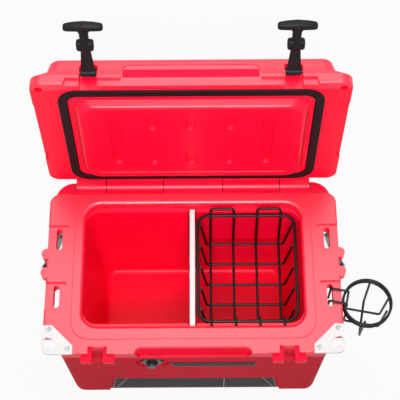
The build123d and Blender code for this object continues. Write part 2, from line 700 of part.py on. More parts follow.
# Corner plates with their lock and bottle-opener holes
for side, name in ((-1, "corner_plate_left"), (1, "corner_plate_right")):
    with BuildPart() as corner_plate:
        with BuildSketch(Plane.XY.offset(LEDGE_Z - PLATE_THICKNESS)) as plate_outline:
            with BuildLine():
                Polyline(
                    (side * RIM_HALF_WIDTH, plate_edge_y - SEAT),
                    (side * (RIM_HALF_WIDTH - PLATE_SHOULDER), plate_edge_y - SEAT),
                    (side * (plate_edge_x + SEAT), -RIM_FRONT + PLATE_SHOULDER),
                    (side * (plate_edge_x + SEAT), -RIM_FRONT),
                    (side * RIM_HALF_WIDTH, -RIM_FRONT),
                    close=True,
                )
            make_face()
            fillet(plate_outline.vertices().sort_by_distance((0, 0))[-1], PLATE_CORNER)
            with Locations((side * PLATE_HOLE_X, PLATE_HOLE_Y)):
                Ellipse(PLATE_HOLE_LENGTH / 2, PLATE_HOLE_WIDTH / 2, rotation=side * 45, mode=Mode.SUBTRACT)
        extrude(amount=PLATE_THICKNESS)
        with Locations(*[(side * x, y, LEDGE_Z) for x, y in PLATE_SCREWS]):
            CounterSinkHole(SCREW_RADIUS + FIT, SCREW_HEAD_RADIUS + FIT, PLATE_THICKNESS)
    save(corner_plate.part, name)

# Countersunk screws that hold the corner plates
with BuildPart() as corner_plate_screws:
    for side in BOTH_SIDES:
        for x, y in PLATE_SCREWS:
            with BuildSketch(Plane.XZ.offset(-y)):
                with BuildLine():
                    Polyline(
                        (side * x, LEDGE_Z),
                        (side * x + SCREW_HEAD_RADIUS, LEDGE_Z),
                        (side * x + SCREW_RADIUS, LEDGE_Z - SCREW_HEAD_RADIUS + SCREW_RADIUS),
                        (side * x + SCREW_RADIUS, LEDGE_Z - SCREW_LENGTH),
                        (side * x, LEDGE_Z - SCREW_LENGTH),
                        close=True,
                    )
                make_face()
            revolve(axis=Axis((side * x, y, 0), (0, 0, 1)))
save(corner_plate_screws.part, "corner_plate_screws")

# Divider board, standing on the tub floor between its channels
with BuildPart() as divider_board:
    with BuildSketch(Plane.YZ.offset(DIVIDER_X - DIVIDER_THICKNESS / 2)):
        with BuildLine():
            reach = CHANNEL_DEPTH - DIVIDER_END_PLAY - LEDGE_WIDTH
            Polyline(
                (-(TUB_FRONT + reach - TUB_END_RUN), TUB_FLOOR),
                (TUB_BACK + reach - TUB_END_RUN, TUB_FLOOR),
                (TUB_BACK + reach, TUB_LEDGE_Z),
                (-(TUB_FRONT + reach), TUB_LEDGE_Z),
                close=True,
            )
        make_face()
    extrude(amount=DIVIDER_THICKNESS)
    fillet(divider_board.faces().sort_by(Axis.Z)[-1].edges(), DIVIDER_EDGE)
save(divider_board.part, "divider_board")

# Foam core of the lid
with BuildPart() as lid_foam:
    for z, run in ((LID_FOAM_LOW, 0), (LID_FOAM_HIGH, LID_FOAM_DRAFT_RUN)):
        with BuildSketch(Plane.XY.offset(LID_Z + z)):
            rounded_plan(LID_FOAM_HALF - run, LID_FOAM_FRONT - run, LID_FOAM_BACK - run, TUB_CORNER)
    loft(ruled=True)
save(opened(lid_foam.part), "lid_foam")

# Lid shell: a flange, a sloped shoulder and a crown, with a plug that drops into the tub
crown_front = LID_FRONT - CROWN_FRONT_STEP
lid_sections = (
    (0, RIM_HALF_WIDTH, LID_FRONT, RIM_BACK),
    (LID_FLANGE, RIM_HALF_WIDTH, LID_FRONT, RIM_BACK),
    (LID_SLOPE_TOP, CROWN_BASE_HALF, crown_front, CROWN_BACK),
    (LID_HEIGHT, CROWN_TOP_HALF, crown_front - CROWN_FRONT_DRAFT, CROWN_BACK - CROWN_BACK_DRAFT),
)
plug_front = TUB_FRONT - PLUG_SIDE_GAP
plug_back = TUB_BACK - PLUG_SIDE_GAP - PLUG_BACK_ROOM
plug_half = TUB_HALF_WIDTH - PLUG_SIDE_GAP
with BuildPart() as lid_shell:
    for pair in zip(lid_sections, lid_sections[1:]):
        for rise, half, front, back in pair:
            with BuildSketch(Plane.XY.offset(LID_Z + rise)):
                rounded_plan(half, front, back, RIM_CORNER)
        loft(ruled=True)
    fillet(lid_shell.faces().sort_by(Axis.Z)[-1].edges(), CROWN_EDGE)
    fillet(lid_shell.faces().sort_by(Axis.Z)[0].edges(), RIM_EDGE)
    # plug with a recessed field
    for drop, run in ((0, 0), (PLUG_DEPTH, PLUG_DRAFT_RUN)):
        with BuildSketch(Plane.XY.offset(LID_Z - drop)):
            rounded_plan(
                plug_half + PLUG_DRAFT_RUN - run,
                plug_front + PLUG_DRAFT_RUN - run,
                plug_back + PLUG_DRAFT_RUN - run,
                TUB_CORNER,
            )
    loft(ruled=True)
    fillet(lid_shell.faces().sort_by(Axis.Z)[0].edges(), PLUG_EDGE)
    with BuildSketch(Plane.XY.offset(LID_Z - PLUG_DEPTH)):
        rounded_plan(plug_half - FIELD_INSET, plug_front - FIELD_INSET, plug_back - FIELD_INSET, FIELD_INSET)
    extrude(amount=FIELD_DEPTH, taper=FIELD_TAPER, mode=Mode.SUBTRACT)
    # drafted dimples where the plug's skin meets the crown
    with BuildSketch(Plane.XY.offset(LID_Z - PLUG_DEPTH + FIELD_DEPTH)):
        with Locations(*[(x, y) for x in DIMPLE_XS for y in DIMPLE_YS]):
            SlotOverall(DIMPLE_LENGTH, DIMPLE_WIDTH, rotation=90)
        with Locations(*[(side * LONG_DIMPLE_X, sum(DIMPLE_YS) / 2) for side in BOTH_SIDES]):
            SlotOverall(LONG_DIMPLE_LENGTH, DIMPLE_WIDTH, rotation=90)
    extrude(amount=DIMPLE_DEPTH, taper=DIMPLE_TAPER, mode=Mode.SUBTRACT)
    # finger scoop in the front face: a shallow recess, then a slope down to the rabbet below it
    scoop_face = LID_FRONT - LID_SCOOP_DEPTH
    with BuildSketch(Plane.XZ.offset(scoop_face)):
        with Locations((0, LID_Z)):
            RectangleRounded(2 * LID_SCOOP_HALF, 2 * LID_SCOOP_TOP, LID_SCOOP_CORNER)
    extrude(amount=RIM_CORNER, mode=Mode.SUBTRACT)
    with BuildSketch(Plane.YZ.offset(-LID_SCOOP_HALF)):
        with BuildLine():
            Polyline(
                (-scoop_face, LID_Z + LID_SCOOP_SLOPE_TOP),
                (RABBET_DEPTH - LID_FRONT, LID_Z + RABBET_HEIGHT),
                (-LID_FRONT, LID_Z + RABBET_HEIGHT),
                (-LID_FRONT, LID_Z + LID_SCOOP_SLOPE_TOP),
                close=True,
            )
        make_face()
    extrude(amount=2 * LID_SCOOP_HALF, mode=Mode.SUBTRACT)
    with BuildSketch(Plane.XZ.offset(LID_FRONT - RABBET_DEPTH)):
        with BuildLine():
            Polyline(
                (-RABBET_HALF - RABBET_HEIGHT / 2, LID_Z - PLUG_DEPTH),
                (RABBET_HALF + RABBET_HEIGHT / 2, LID_Z - PLUG_DEPTH),
                (RABBET_HALF, LID_Z + RABBET_HEIGHT),
                (-RABBET_HALF, LID_Z + RABBET_HEIGHT),
                close=True,
            )
        make_face()
    extrude(amount=RIM_CORNER, mode=Mode.SUBTRACT)
    # latch channels with the pin bores in their sides
    for side in BOTH_SIDES:
        with BuildSketch(Plane.XZ.offset(LATCH_CHANNEL_BACK)):
            with Locations((side * LATCH_X, LID_Z)):
                RectangleRounded(LATCH_CHANNEL_WIDTH, 2 * LATCH_CHANNEL_HEIGHT, NOTCH_CORNER)
        extrude(amount=2 * RIM_CORNER, mode=Mode.SUBTRACT)
        pin_half = LATCH_CHANNEL_WIDTH / 2 + LATCH_PIN_BITE
        with BuildSketch(Plane.YZ.offset(side * LATCH_X - pin_half)):
            with Locations((LATCH_PIVOT_Y, LATCH_PIVOT_Z)):
                Circle(LATCH_PIN_RADIUS + FIT)
        extrude(amount=2 * pin_half, mode=Mode.SUBTRACT)
        # strap clearance under the side edge, and the lock hole over the corner plate's
        with BuildSketch(Plane.XY.offset(LID_Z)):
            with Locations((side * (SIDE_RABBET_X + RIM_CORNER), sum(SIDE_RABBET_YS) / 2)):
                RectangleRounded(2 * RIM_CORNER, SIDE_RABBET_YS[1] - SIDE_RABBET_YS[0], SIDE_RABBET_CORNER)
        extrude(amount=SIDE_RABBET_HEIGHT, mode=Mode.SUBTRACT)
        with BuildSketch(Plane.XY.offset(LID_Z)):
            with Locations((side * PLATE_HOLE_X, PLATE_HOLE_Y)):
                Circle(LOCK_HOLE_RADIUS)
        extrude(amount=LID_HEIGHT, mode=Mode.SUBTRACT)
    # groove for the seal
    with BuildSketch(Plane.XY.offset(LID_Z)):
        rounded_plan(SEAL_OUTER_HALF, SEAL_FRONT, SEAL_BACK, SEAL_CORNER)
        with Locations((0, (SEAL_BACK - SEAL_FRONT) / 2)):
            RectangleRounded(
                2 * (SEAL_OUTER_HALF - SEAL_WIDTH),
                SEAL_FRONT + SEAL_BACK - 2 * SEAL_WIDTH,
                SEAL_CORNER - SEAL_WIDTH,
                mode=Mode.SUBTRACT,
            )
    extrude(amount=SEAL_GROOVE, mode=Mode.SUBTRACT)
    # hinge knuckles
    for low, high in knuckle_spans(1):
        with BuildSketch(Plane.YZ.offset(low)):
            with Locations((HINGE_Y, HINGE_Z)):
                Circle(KNUCKLE_RADIUS)
            with BuildLine():
                Polyline(
                    (HINGE_Y - KNUCKLE_RADIUS, HINGE_Z),
                    (HINGE_Y - KNUCKLE_RADIUS, LID_Z),
                    (RIM_BACK - KNUCKLE_ROOT, LID_Z),
                    (RIM_BACK - KNUCKLE_ROOT, LID_Z + LID_FLANGE - KNUCKLE_STEP),
                    (HINGE_Y, LID_Z + LID_FLANGE - KNUCKLE_STEP),
                    (HINGE_Y + KNUCKLE_RADIUS, HINGE_Z),
                    close=True,
                )
            make_face()
        extrude(amount=high - low)
    with BuildSketch(Plane.YZ.offset(-HINGE_HALF_LENGTH)):
        with Locations((HINGE_Y, HINGE_Z)):
            Circle(ROD_RADIUS + FIT)
    extrude(amount=2 * HINGE_HALF_LENGTH, mode=Mode.SUBTRACT)
    # filling port in the back of the crown, and the hollow for the foam
    port_z = LID_Z + LID_PORT_RISE
    with BuildSketch(Plane.XZ.offset(-(LID_FOAM_BACK - LID_FOAM_DRAFT_RUN))):
        with Locations((0, port_z)):
            Circle(LID_PORT_RADIUS + FIT)
    extrude(amount=-2 * RIM_CORNER, mode=Mode.SUBTRACT)
    add(lid_foam.part, mode=Mode.SUBTRACT)
save(opened(lid_shell.part), "lid_shell")

# Plug in the lid's filling port
foam_slope = LID_FOAM_DRAFT_RUN / (LID_FOAM_HIGH - LID_FOAM_LOW)
port_inner = LID_FOAM_BACK - foam_slope * (LID_PORT_RISE - LID_FOAM_LOW) + LID_PORT_INSET
with BuildPart() as lid_fill_plug:
    with BuildSketch(Plane.XZ.offset(-port_inner)):
        with Locations((0, port_z)):
            Circle(LID_PORT_RADIUS)
    extrude(amount=-(CROWN_BACK - CROWN_BACK_DRAFT - port_inner))
save(opened(lid_fill_plug.part), "lid_fill_plug")

# Rubber seal in the lid's groove
with BuildPart() as lid_seal:
    with BuildSketch(Plane.XY.offset(LID_Z - SEAL_GAP + SEAL_REST_GAP)):
        rounded_plan(SEAL_OUTER_HALF - FIT, SEAL_FRONT - FIT, SEAL_BACK - FIT, SEAL_CORNER)
        with Locations((0, (SEAL_BACK - SEAL_FRONT) / 2)):
            RectangleRounded(
                2 * (SEAL_OUTER_HALF - SEAL_WIDTH + FIT),
                SEAL_FRONT + SEAL_BACK - 2 * (SEAL_WIDTH - FIT),
                SEAL_CORNER - SEAL_WIDTH,
                mode=Mode.SUBTRACT,
            )
    extrude(amount=SEAL_GROOVE + SEAL_GAP - SEAL_REST_GAP)
    fillet(lid_seal.faces().sort_by(Axis.Z)[0].edges(), SEAL_EDGE)
save(opened(lid_seal.part), "lid_seal")

# Hinge rod with a press-on cap at each end
with BuildPart() as hinge_rod:
    with BuildSketch(Plane.YZ.offset(-HINGE_HALF_LENGTH)):
        with Locations((HINGE_Y, HINGE_Z)):
            Circle(ROD_RADIUS)
    extrude(amount=2 * HINGE_HALF_LENGTH)
save(hinge_rod.part, "hinge_rod")
with BuildPart() as hinge_rod_caps:
    for side in BOTH_SIDES:
        with BuildSketch(Plane.YZ.offset(side * HINGE_HALF_LENGTH)):
            with Locations((HINGE_Y, HINGE_Z)):
                Circle(ROD_CAP_RADIUS)
        extrude(amount=side * ROD_CAP_THICKNESS, taper=ROD_CAP_TAPER)
save(hinge_rod_caps.part, "hinge_rod_caps")

# Rubber T-latches, drawn pointing forward from their pivots, then leaned up
latch_lean = Axis((0, LATCH_PIVOT_Y, LATCH_PIVOT_Z), (1, 0, 0))
for side, name in ((-1, "latch_left"), (1, "latch_right")):
    with BuildPart() as latch:
        with BuildSketch(Plane.YZ.offset(side * LATCH_X - LATCH_ROLLER_WIDTH / 2)):
            with Locations((LATCH_PIVOT_Y, LATCH_PIVOT_Z)):
                Circle(LATCH_ROLLER_RADIUS)
        extrude(amount=LATCH_ROLLER_WIDTH)
        # strap, narrowing from the roller to the collar, and the stem beyond the collar
        with BuildSketch(Plane.XY.offset(LATCH_PIVOT_Z - STRAP_THICKNESS / 2)):
            with BuildLine():
                Polyline(
                    (side * LATCH_X - STRAP_WIDE / 2, LATCH_PIVOT_Y),
                    (side * LATCH_X + STRAP_WIDE / 2, LATCH_PIVOT_Y),
                    (side * LATCH_X + STRAP_NARROW / 2, LATCH_PIVOT_Y - COLLAR_START),
                    (side * LATCH_X + STEM_WIDTH / 2, LATCH_PIVOT_Y - TEE_REACH),
                    (side * LATCH_X - STEM_WIDTH / 2, LATCH_PIVOT_Y - TEE_REACH),
                    (side * LATCH_X - STRAP_NARROW / 2, LATCH_PIVOT_Y - COLLAR_START),
                    close=True,
                )
            make_face()
        extrude(amount=STRAP_THICKNESS)
        with BuildSketch(Plane.XZ.offset(-LATCH_PIVOT_Y + COLLAR_START)):
            with Locations((side * LATCH_X, LATCH_PIVOT_Z)):
                RectangleRounded(COLLAR_WIDTH, COLLAR_THICKNESS, COLLAR_CORNER)
        extrude(amount=COLLAR_LENGTH)
        with BuildSketch(Plane.YZ.offset(side * LATCH_X - TEE_WIDTH / 2)):
            with Locations((LATCH_PIVOT_Y - TEE_REACH, LATCH_PIVOT_Z)):
                Circle(TEE_RADIUS)
        extrude(amount=TEE_WIDTH)
        fillet(latch.faces().filter_by(Axis.X).sort_by(Axis.X)[0].edges(), TEE_RADIUS / 2)
        fillet(latch.faces().filter_by(Axis.X).sort_by(Axis.X)[-1].edges(), TEE_RADIUS / 2)
        with BuildSketch(Plane.YZ.offset(side * LATCH_X - LATCH_ROLLER_WIDTH)):
            with Locations((LATCH_PIVOT_Y, LATCH_PIVOT_Z)):
                Circle(LATCH_PIN_RADIUS + FIT)
        extrude(amount=2 * LATCH_ROLLER_WIDTH, mode=Mode.SUBTRACT)
    save(opened(latch.part.rotate(latch_lean, -LATCH_LEAN)), name)

# Latch pins, across the lid's channels
with BuildPart() as latch_pins:
    for side in BOTH_SIDES:
        with BuildSketch(Plane.YZ.offset(side * LATCH_X - pin_half)):
            with Locations((LATCH_PIVOT_Y, LATCH_PIVOT_Z)):
                Circle(LATCH_PIN_RADIUS)
        extrude(amount=2 * pin_half)
save(opened(latch_pins.part), "latch_pins")

# Bail handle, folded back until its grip meets the back wall
draft = radians(WALL_DRAFT)
fold_reach = RIM_BACK - wall_inset(PIVOT_Z) + (GRIP_RADIUS + GRIP_WALL_GAP) / cos(draft) - PIVOT_Y
bail_fold = WALL_DRAFT + degrees(acos(fold_reach * cos(draft) / ARM_LENGTH))
BAIL_AXIS = Axis((0, PIVOT_Y, PIVOT_Z), (1, 0, 0))
for side, name in ((-1, "bail_arm_left"), (1, "bail_arm_right")):
    with BuildPart() as bail_arm:
        with BuildSketch(Plane.YZ.offset(side * ARM_INNER_X)):
            with Locations((PIVOT_Y + ARM_LENGTH / 2, PIVOT_Z)):
                SlotCenterToCenter(ARM_LENGTH, ARM_WIDTH)
        extrude(amount=side * ARM_THICKNESS)
        fillet(bail_arm.faces().filter_by(Axis.X).edges(), ARM_EDGE)
        for reach, radius in ((0, BOLT_RADIUS), (ARM_LENGTH, CROSSBAR_RADIUS)):
            with BuildSketch(Plane.YZ.offset(side * ARM_INNER_X)):
                with Locations((PIVOT_Y + reach, PIVOT_Z)):
                    Circle(radius + FIT)
            extrude(amount=side * ARM_THICKNESS, mode=Mode.SUBTRACT)
    save(bail_arm.part.rotate(BAIL_AXIS, -bail_fold), name)
with BuildPart() as bail_crossbar:
    with BuildSketch(Plane.YZ.offset(-ARM_OUTER_X)):
        with Locations((PIVOT_Y + ARM_LENGTH, PIVOT_Z)):
            Circle(CROSSBAR_RADIUS)
    extrude(amount=2 * ARM_OUTER_X)
save(bail_crossbar.part.rotate(BAIL_AXIS, -bail_fold), "bail_crossbar")
with BuildPart() as bail_grip:
    with BuildSketch(Plane.YZ.offset(-GRIP_LENGTH / 2)):
        with Locations((PIVOT_Y + ARM_LENGTH, PIVOT_Z)):
            Circle(GRIP_RADIUS)
    extrude(amount=GRIP_LENGTH)
    fillet(bail_grip.edges(), ARM_EDGE)
    with BuildSketch(Plane.YZ.offset(-GRIP_LENGTH / 2)):
        with Locations((PIVOT_Y + ARM_LENGTH, PIVOT_Z)):
            Circle(CROSSBAR_RADIUS + FIT)
    extrude(amount=GRIP_LENGTH, mode=Mode.SUBTRACT)
save(bail_grip.part.rotate(BAIL_AXIS, -bail_fold), "bail_grip")

# Pivot bolts in the bosses, and the washers under the arms
with BuildPart() as bail_pivot_bolts:
    for side in BOTH_SIDES:
        shank_end = PIVOT_BOSS_FACE - BOLT_DEPTH
        for start, length, radius in (
            (shank_end, ARM_OUTER_X + SEAT - shank_end, BOLT_RADIUS),
            (ARM_OUTER_X + SEAT, BOLT_HEAD_HEIGHT, BOLT_HEAD_RADIUS),
        ):
            with BuildSketch(Plane.YZ.offset(side * start)):
                with Locations((PIVOT_Y, PIVOT_Z)):
                    Circle(radius)
            extrude(amount=side * length)
    heads = bail_pivot_bolts.faces().sort_by(Axis.X)
    fillet(heads[0].edges() + heads[-1].edges(), ARM_EDGE)
save(bail_pivot_bolts.part, "bail_pivot_bolts")
with BuildPart() as bail_washers:
    for side in BOTH_SIDES:
        with BuildSketch(Plane.YZ.offset(side * PIVOT_BOSS_FACE)):
            with Locations((PIVOT_Y, PIVOT_Z)):
                Circle(WASHER_RADIUS)
                Circle(BOLT_RADIUS + FIT, mode=Mode.SUBTRACT)
        extrude(amount=side * WASHER_THICKNESS)
save(bail_washers.part, "bail_washers")

# Wire basket: a rim, two long wires that hook over the tub's ledges, and five cross wires below them
hook_z = TUB_LEDGE_Z + SEAT + BASKET_WIRE
rim_z = hook_z - BASKET_WIRE - BASKET_RIM_WIRE - WELD_GAP
bottom_z = rim_z - BASKET_DEPTH
inside = BASKET_RIM_WIRE + BASKET_WIRE + WELD_GAP
with BuildPart() as basket_rim:
    with BuildLine(Plane.XY.offset(rim_z)) as rim_route:
        FilletPolyline(
            (BASKET_LEFT, -BASKET_FRONT),
            (BASKET_RIGHT, -BASKET_FRONT),
            (BASKET_RIGHT, BASKET_BACK),
            (BASKET_LEFT, BASKET_BACK),
            radius=BASKET_CORNER,
            close=True,
        )
    with BuildSketch(Plane(origin=rim_route.line @ 0, z_dir=rim_route.line % 0)):
        Circle(BASKET_RIM_WIRE)
    sweep(path=rim_route.line)
save(basket_rim.part, "basket_rim")
with BuildPart() as basket_long_wires:
    front, back = -BASKET_FRONT + inside, BASKET_BACK - inside
    for near, far in BASKET_LONG_XS:
        wire(
            [
                (near, -BASKET_FRONT - BASKET_HOOK_REACH, hook_z),
                (near, front, hook_z),
                (near, front + BASKET_TAPER, bottom_z),
                (near, back - BASKET_TAPER, bottom_z),
                (near, back, hook_z),
                (near, BASKET_BACK + BASKET_HOOK_REACH, hook_z),
                (far, BASKET_BACK + BASKET_HOOK_REACH, hook_z),
                (far, back, hook_z),
                (far, back - BASKET_TAPER, bottom_z),
                (far, front + BASKET_TAPER, bottom_z),
                (far, front, hook_z),
                (far, -BASKET_FRONT - BASKET_HOOK_REACH, hook_z),
            ],
            BASKET_BEND,
            BASKET_WIRE,
        )
save(basket_long_wires.part, "basket_long_wires")
with BuildPart() as basket_cross_wires:
    left, right = BASKET_LEFT + inside, BASKET_RIGHT - inside
    cross_z = bottom_z - 2 * BASKET_WIRE - WELD_GAP
    for y in BASKET_CROSS_YS:
        wire(
            [
                (left, y, rim_z + BASKET_WIRE),
                (left + BASKET_TAPER, y, cross_z),
                (right - BASKET_TAPER, y, cross_z),
                (right, y, rim_z + BASKET_WIRE),
            ],
            BASKET_BEND,
            BASKET_WIRE,
        )
save(basket_cross_wires.part, "basket_cross_wires")

# Wire cup holder, drawn with its hook on the Z axis and reaching along +X, then set in the slot
cup_place = Location((SLOT_X, SLOT_YS[1], 0), (0, 0, CUP_TURN))
hook_top = LEDGE_Z - PAD_DEPTH + SEAT + CUP_WIRE
cup_reach = CUP_RING_RADIUS - 2 * CUP_WIRE - WELD_GAP
ring_inside = CUP_RING_RADIUS - CUP_WIRE
frame_half = CUP_FRAME_SPACING / 2 + CUP_WIRE
frame_reach = sqrt(ring_inside**2 - frame_half**2) - CUP_WIRE - WELD_GAP
with BuildPart() as cup_holder_rings:
    for z in (CUP_RING_TOP, CUP_RING_TOP - CUP_RING_STEP):
        with Locations((CUP_RING_REACH, 0, z)):
            Torus(CUP_RING_RADIUS, CUP_WIRE)
save(cup_holder_rings.part.moved(cup_place), "cup_holder_rings")
with BuildPart() as cup_holder_frames:
    for side in BOTH_SIDES:
        v = side * CUP_FRAME_SPACING / 2
        wire(
            [
                (-CUP_HOOK_BACK, v, hook_top - CUP_HOOK_DROP),
                (-CUP_HOOK_BACK, v, hook_top),
                (CUP_RING_REACH - frame_reach, v, hook_top),
                (CUP_RING_REACH - frame_reach + CUP_TAPER, v, CUP_BOTTOM),
                (CUP_RING_REACH + frame_reach - CUP_TAPER, v, CUP_BOTTOM),
                (CUP_RING_REACH + frame_reach, v, CUP_RING_TOP + CUP_WIRE),
            ],
            CUP_BEND,
            CUP_WIRE,
        )
save(cup_holder_frames.part.moved(cup_place), "cup_holder_frames")
with BuildPart() as cup_holder_cradle:
    cradle_z = CUP_BOTTOM - 2 * CUP_WIRE - WELD_GAP
    wire(
        [
            (CUP_RING_REACH, -cup_reach, CUP_RING_TOP + CUP_WIRE),
            (CUP_RING_REACH, -cup_reach + CUP_TAPER, cradle_z),
            (CUP_RING_REACH, cup_reach - CUP_TAPER, cradle_z),
            (CUP_RING_REACH, cup_reach, CUP_RING_TOP + CUP_WIRE),
        ],
        CUP_BEND,
        CUP_WIRE,
    )
save(cup_holder_cradle.part.moved(cup_place), "cup_holder_cradle")

# Vent valve: a seal, a flanged body through the wall, and a push button on a spring
vent_flange_back = VENT_RECESS_FLOOR + VENT_SEAL_THICKNESS
vent_face = vent_flange_back + VENT_FLANGE_THICKNESS
with BuildPart() as vent_seal:
    with BuildSketch(Plane.XZ.offset(VENT_RECESS_FLOOR)):
        with Locations((VENT_X, VENT_Z)):
            Circle(VENT_FLANGE_RADIUS - VENT_SEAL_INSET)
            Circle(VENT_STEM_RADIUS + FIT, mode=Mode.SUBTRACT)
    extrude(amount=VENT_SEAL_THICKNESS)
save(vent_seal.part, "vent_seal")
vent_inner = TUB_FRONT - LEDGE_WIDTH - tub_run(VENT_Z, TUB_END_RUN) + VENT_SEAT_DEPTH
spring_floor = VENT_RECESS_FLOOR - VENT_SPRING_DEPTH
with BuildPart() as vent_body:
    for start, end, radius, mode in (
        (vent_flange_back, vent_face, VENT_FLANGE_RADIUS, Mode.ADD),
        (vent_inner, vent_flange_back, VENT_STEM_RADIUS, Mode.ADD),
        (vent_face - VENT_TRAVEL - VENT_SEAT_DEPTH, vent_face, VENT_NOSE_RADIUS + SEAT, Mode.SUBTRACT),
        (spring_floor, vent_face, VENT_BORE_RADIUS, Mode.SUBTRACT),
        (vent_inner, vent_face, VENT_BORE_RADIUS / 2, Mode.SUBTRACT),
    ):
        with BuildSketch(Plane.XZ.offset(start)):
            with Locations((VENT_X, VENT_Z)):
                Circle(radius)
        extrude(amount=end - start, mode=mode)
save(vent_body.part, "vent_body")
button_back = vent_face - VENT_SEAT_DEPTH + SEAT
plunger_end = vent_face - VENT_PLUNGER_LENGTH
with BuildPart() as vent_button:
    with BuildSketch(Plane.XZ.offset(button_back)):
        with Locations((VENT_X, VENT_Z)):
            Circle(VENT_NOSE_RADIUS)
    extrude(amount=VENT_NOSE_LENGTH)
    fillet(vent_button.faces().sort_by(Axis.Y)[0].edges(), VENT_NOSE_EDGE)
    with BuildSketch(Plane.XZ.offset(plunger_end)):
        with Locations((VENT_X, VENT_Z)):
            Circle(VENT_BORE_RADIUS - FIT)
    extrude(amount=button_back - plunger_end)
save(vent_button.part, "vent_button")
spring_length = plunger_end - VENT_TRAVEL - spring_floor - 2 * WELD_GAP - 2 * VENT_SPRING_WIRE
spring_start = Vector(VENT_X, -spring_floor - VENT_SPRING_WIRE - WELD_GAP, VENT_Z)
with BuildPart() as vent_spring:
    with BuildLine() as coil:
        Helix(
            spring_length / VENT_SPRING_TURNS,
            spring_length,
            VENT_BORE_RADIUS - 2 * VENT_SPRING_WIRE,
            center=spring_start,
            direction=(0, -1, 0),
        )
    with BuildSketch(Plane(origin=coil.line @ 0, z_dir=coil.line % 0)):
        Circle(VENT_SPRING_WIRE)
    sweep(path=coil.line)
save(vent_spring.part, "vent_spring")

# Nameplate with nothing on it, and the plain label on the lower panel
with BuildPart() as nameplate:
    with BuildSketch(front_plane(NAMEPLATE_Z)):
        with BuildLine():
            Polyline(
                (NAMEPLATE_X - NAMEPLATE_LENGTH / 2 + NAMEPLATE_SLANT, -NAMEPLATE_HEIGHT / 2),
                (NAMEPLATE_X + NAMEPLATE_LENGTH / 2, -NAMEPLATE_HEIGHT / 2),
                (NAMEPLATE_X + NAMEPLATE_LENGTH / 2, NAMEPLATE_HEIGHT / 2),
                (NAMEPLATE_X - NAMEPLATE_LENGTH / 2, NAMEPLATE_HEIGHT / 2),
                close=True,
            )
        make_face()
    extrude(amount=NAMEPLATE_THICKNESS)
save(nameplate.part, "nameplate")
panel_height = PANEL_TOP - FOOT_HEIGHT
panel_slope = (PANEL_BASE_HALF - PANEL_TOP_HALF) / (panel_height + PANEL_DEPTH)
with BuildPart() as lower_label:
    with BuildSketch(front_plane(FOOT_HEIGHT).offset(-PANEL_DEPTH)):
        low, high = 2 * LABEL_MARGIN, panel_height - LABEL_MARGIN
        low_half = PANEL_TOP_HALF + panel_slope * (panel_height - low) - LABEL_MARGIN
        high_half = PANEL_TOP_HALF + panel_slope * (panel_height - high) - LABEL_MARGIN
        with BuildLine():
            Polyline((-low_half, low), (low_half, low), (high_half, high), (-high_half, high), close=True)
        make_face()
    extrude(amount=LABEL_THICKNESS)
save(lower_label.part, "lower_label")
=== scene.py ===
# %% [markdown]
# A hard-sided cooler with its lid standing open
#
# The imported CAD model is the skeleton: every moulded wall, pin and wire is already there at its real size.
# This lesson dresses it. Each step takes one finish or one piece, says what it is on the real cooler,
# and makes it with nodes or with bmesh operators. Lengths are in metres, and the frame is the CAD frame:
# +X to the right, +Y to the back, +Z up, with the origin on the ground under the body.

# %% Load the frame
from math import cos, pi, radians, sin

import bmesh
import bpy
from mathutils import Matrix, Vector


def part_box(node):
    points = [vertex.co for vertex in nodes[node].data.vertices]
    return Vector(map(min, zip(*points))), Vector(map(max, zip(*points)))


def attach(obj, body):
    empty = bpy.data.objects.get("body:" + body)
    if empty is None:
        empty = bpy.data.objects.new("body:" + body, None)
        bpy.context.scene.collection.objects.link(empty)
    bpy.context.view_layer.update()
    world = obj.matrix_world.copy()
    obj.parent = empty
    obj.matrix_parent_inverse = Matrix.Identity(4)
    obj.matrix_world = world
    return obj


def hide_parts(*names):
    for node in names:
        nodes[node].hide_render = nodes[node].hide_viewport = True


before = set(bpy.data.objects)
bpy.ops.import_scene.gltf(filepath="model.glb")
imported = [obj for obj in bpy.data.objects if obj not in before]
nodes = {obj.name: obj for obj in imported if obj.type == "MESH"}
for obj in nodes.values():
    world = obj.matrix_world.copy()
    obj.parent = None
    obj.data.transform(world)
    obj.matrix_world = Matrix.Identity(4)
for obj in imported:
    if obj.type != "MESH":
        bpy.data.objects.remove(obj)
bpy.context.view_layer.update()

# %% [markdown]
# The photograph was taken with a long lens from high in front, which is why the inside of the tub and
# the underside of the lid both show. A camera could be aimed by eye, or with a constraint at a target. Here
# its place and angles come from a fit of the rim, the tub and the hinge to the photograph, so they are
# written as numbers, and its axes are built from those angles.

# %% Camera
EYE = Vector((0.0156, -0.7054, 1.9901))
LOOK_DOWN = radians(64.26)
LOOK_RIGHT = radians(-0.25)
ROLL = radians(-0.58)
FOCAL_LENGTH = 100.32
SENSOR_WIDTH = 36


def put_in_scene(name, data):
    made = bpy.data.objects.new(name, data)
    bpy.context.scene.collection.objects.link(made)
    return made


forward = Vector((sin(LOOK_RIGHT) * cos(LOOK_DOWN), cos(LOOK_RIGHT) * cos(LOOK_DOWN), -sin(LOOK_DOWN)))
level = Vector((cos(LOOK_RIGHT), -sin(LOOK_RIGHT), 0))
upward = level.cross(forward)
camera_x = level * cos(ROLL) + upward * sin(ROLL)
camera_y = upward * cos(ROLL) - level * sin(ROLL)
camera = put_in_scene("Camera", bpy.data.cameras.new("Camera"))
camera.data.sensor_width = SENSOR_WIDTH
camera.data.lens = FOCAL_LENGTH
camera_axes = Matrix((camera_x, camera_y, -forward)).transposed()
camera.matrix_world = Matrix.Translation(EYE) @ camera_axes.to_4x4()
bpy.context.scene.camera = camera
bpy.context.scene.view_settings.view_transform = "Standard"
print("camera looks along", [round(v, 3) for v in forward])

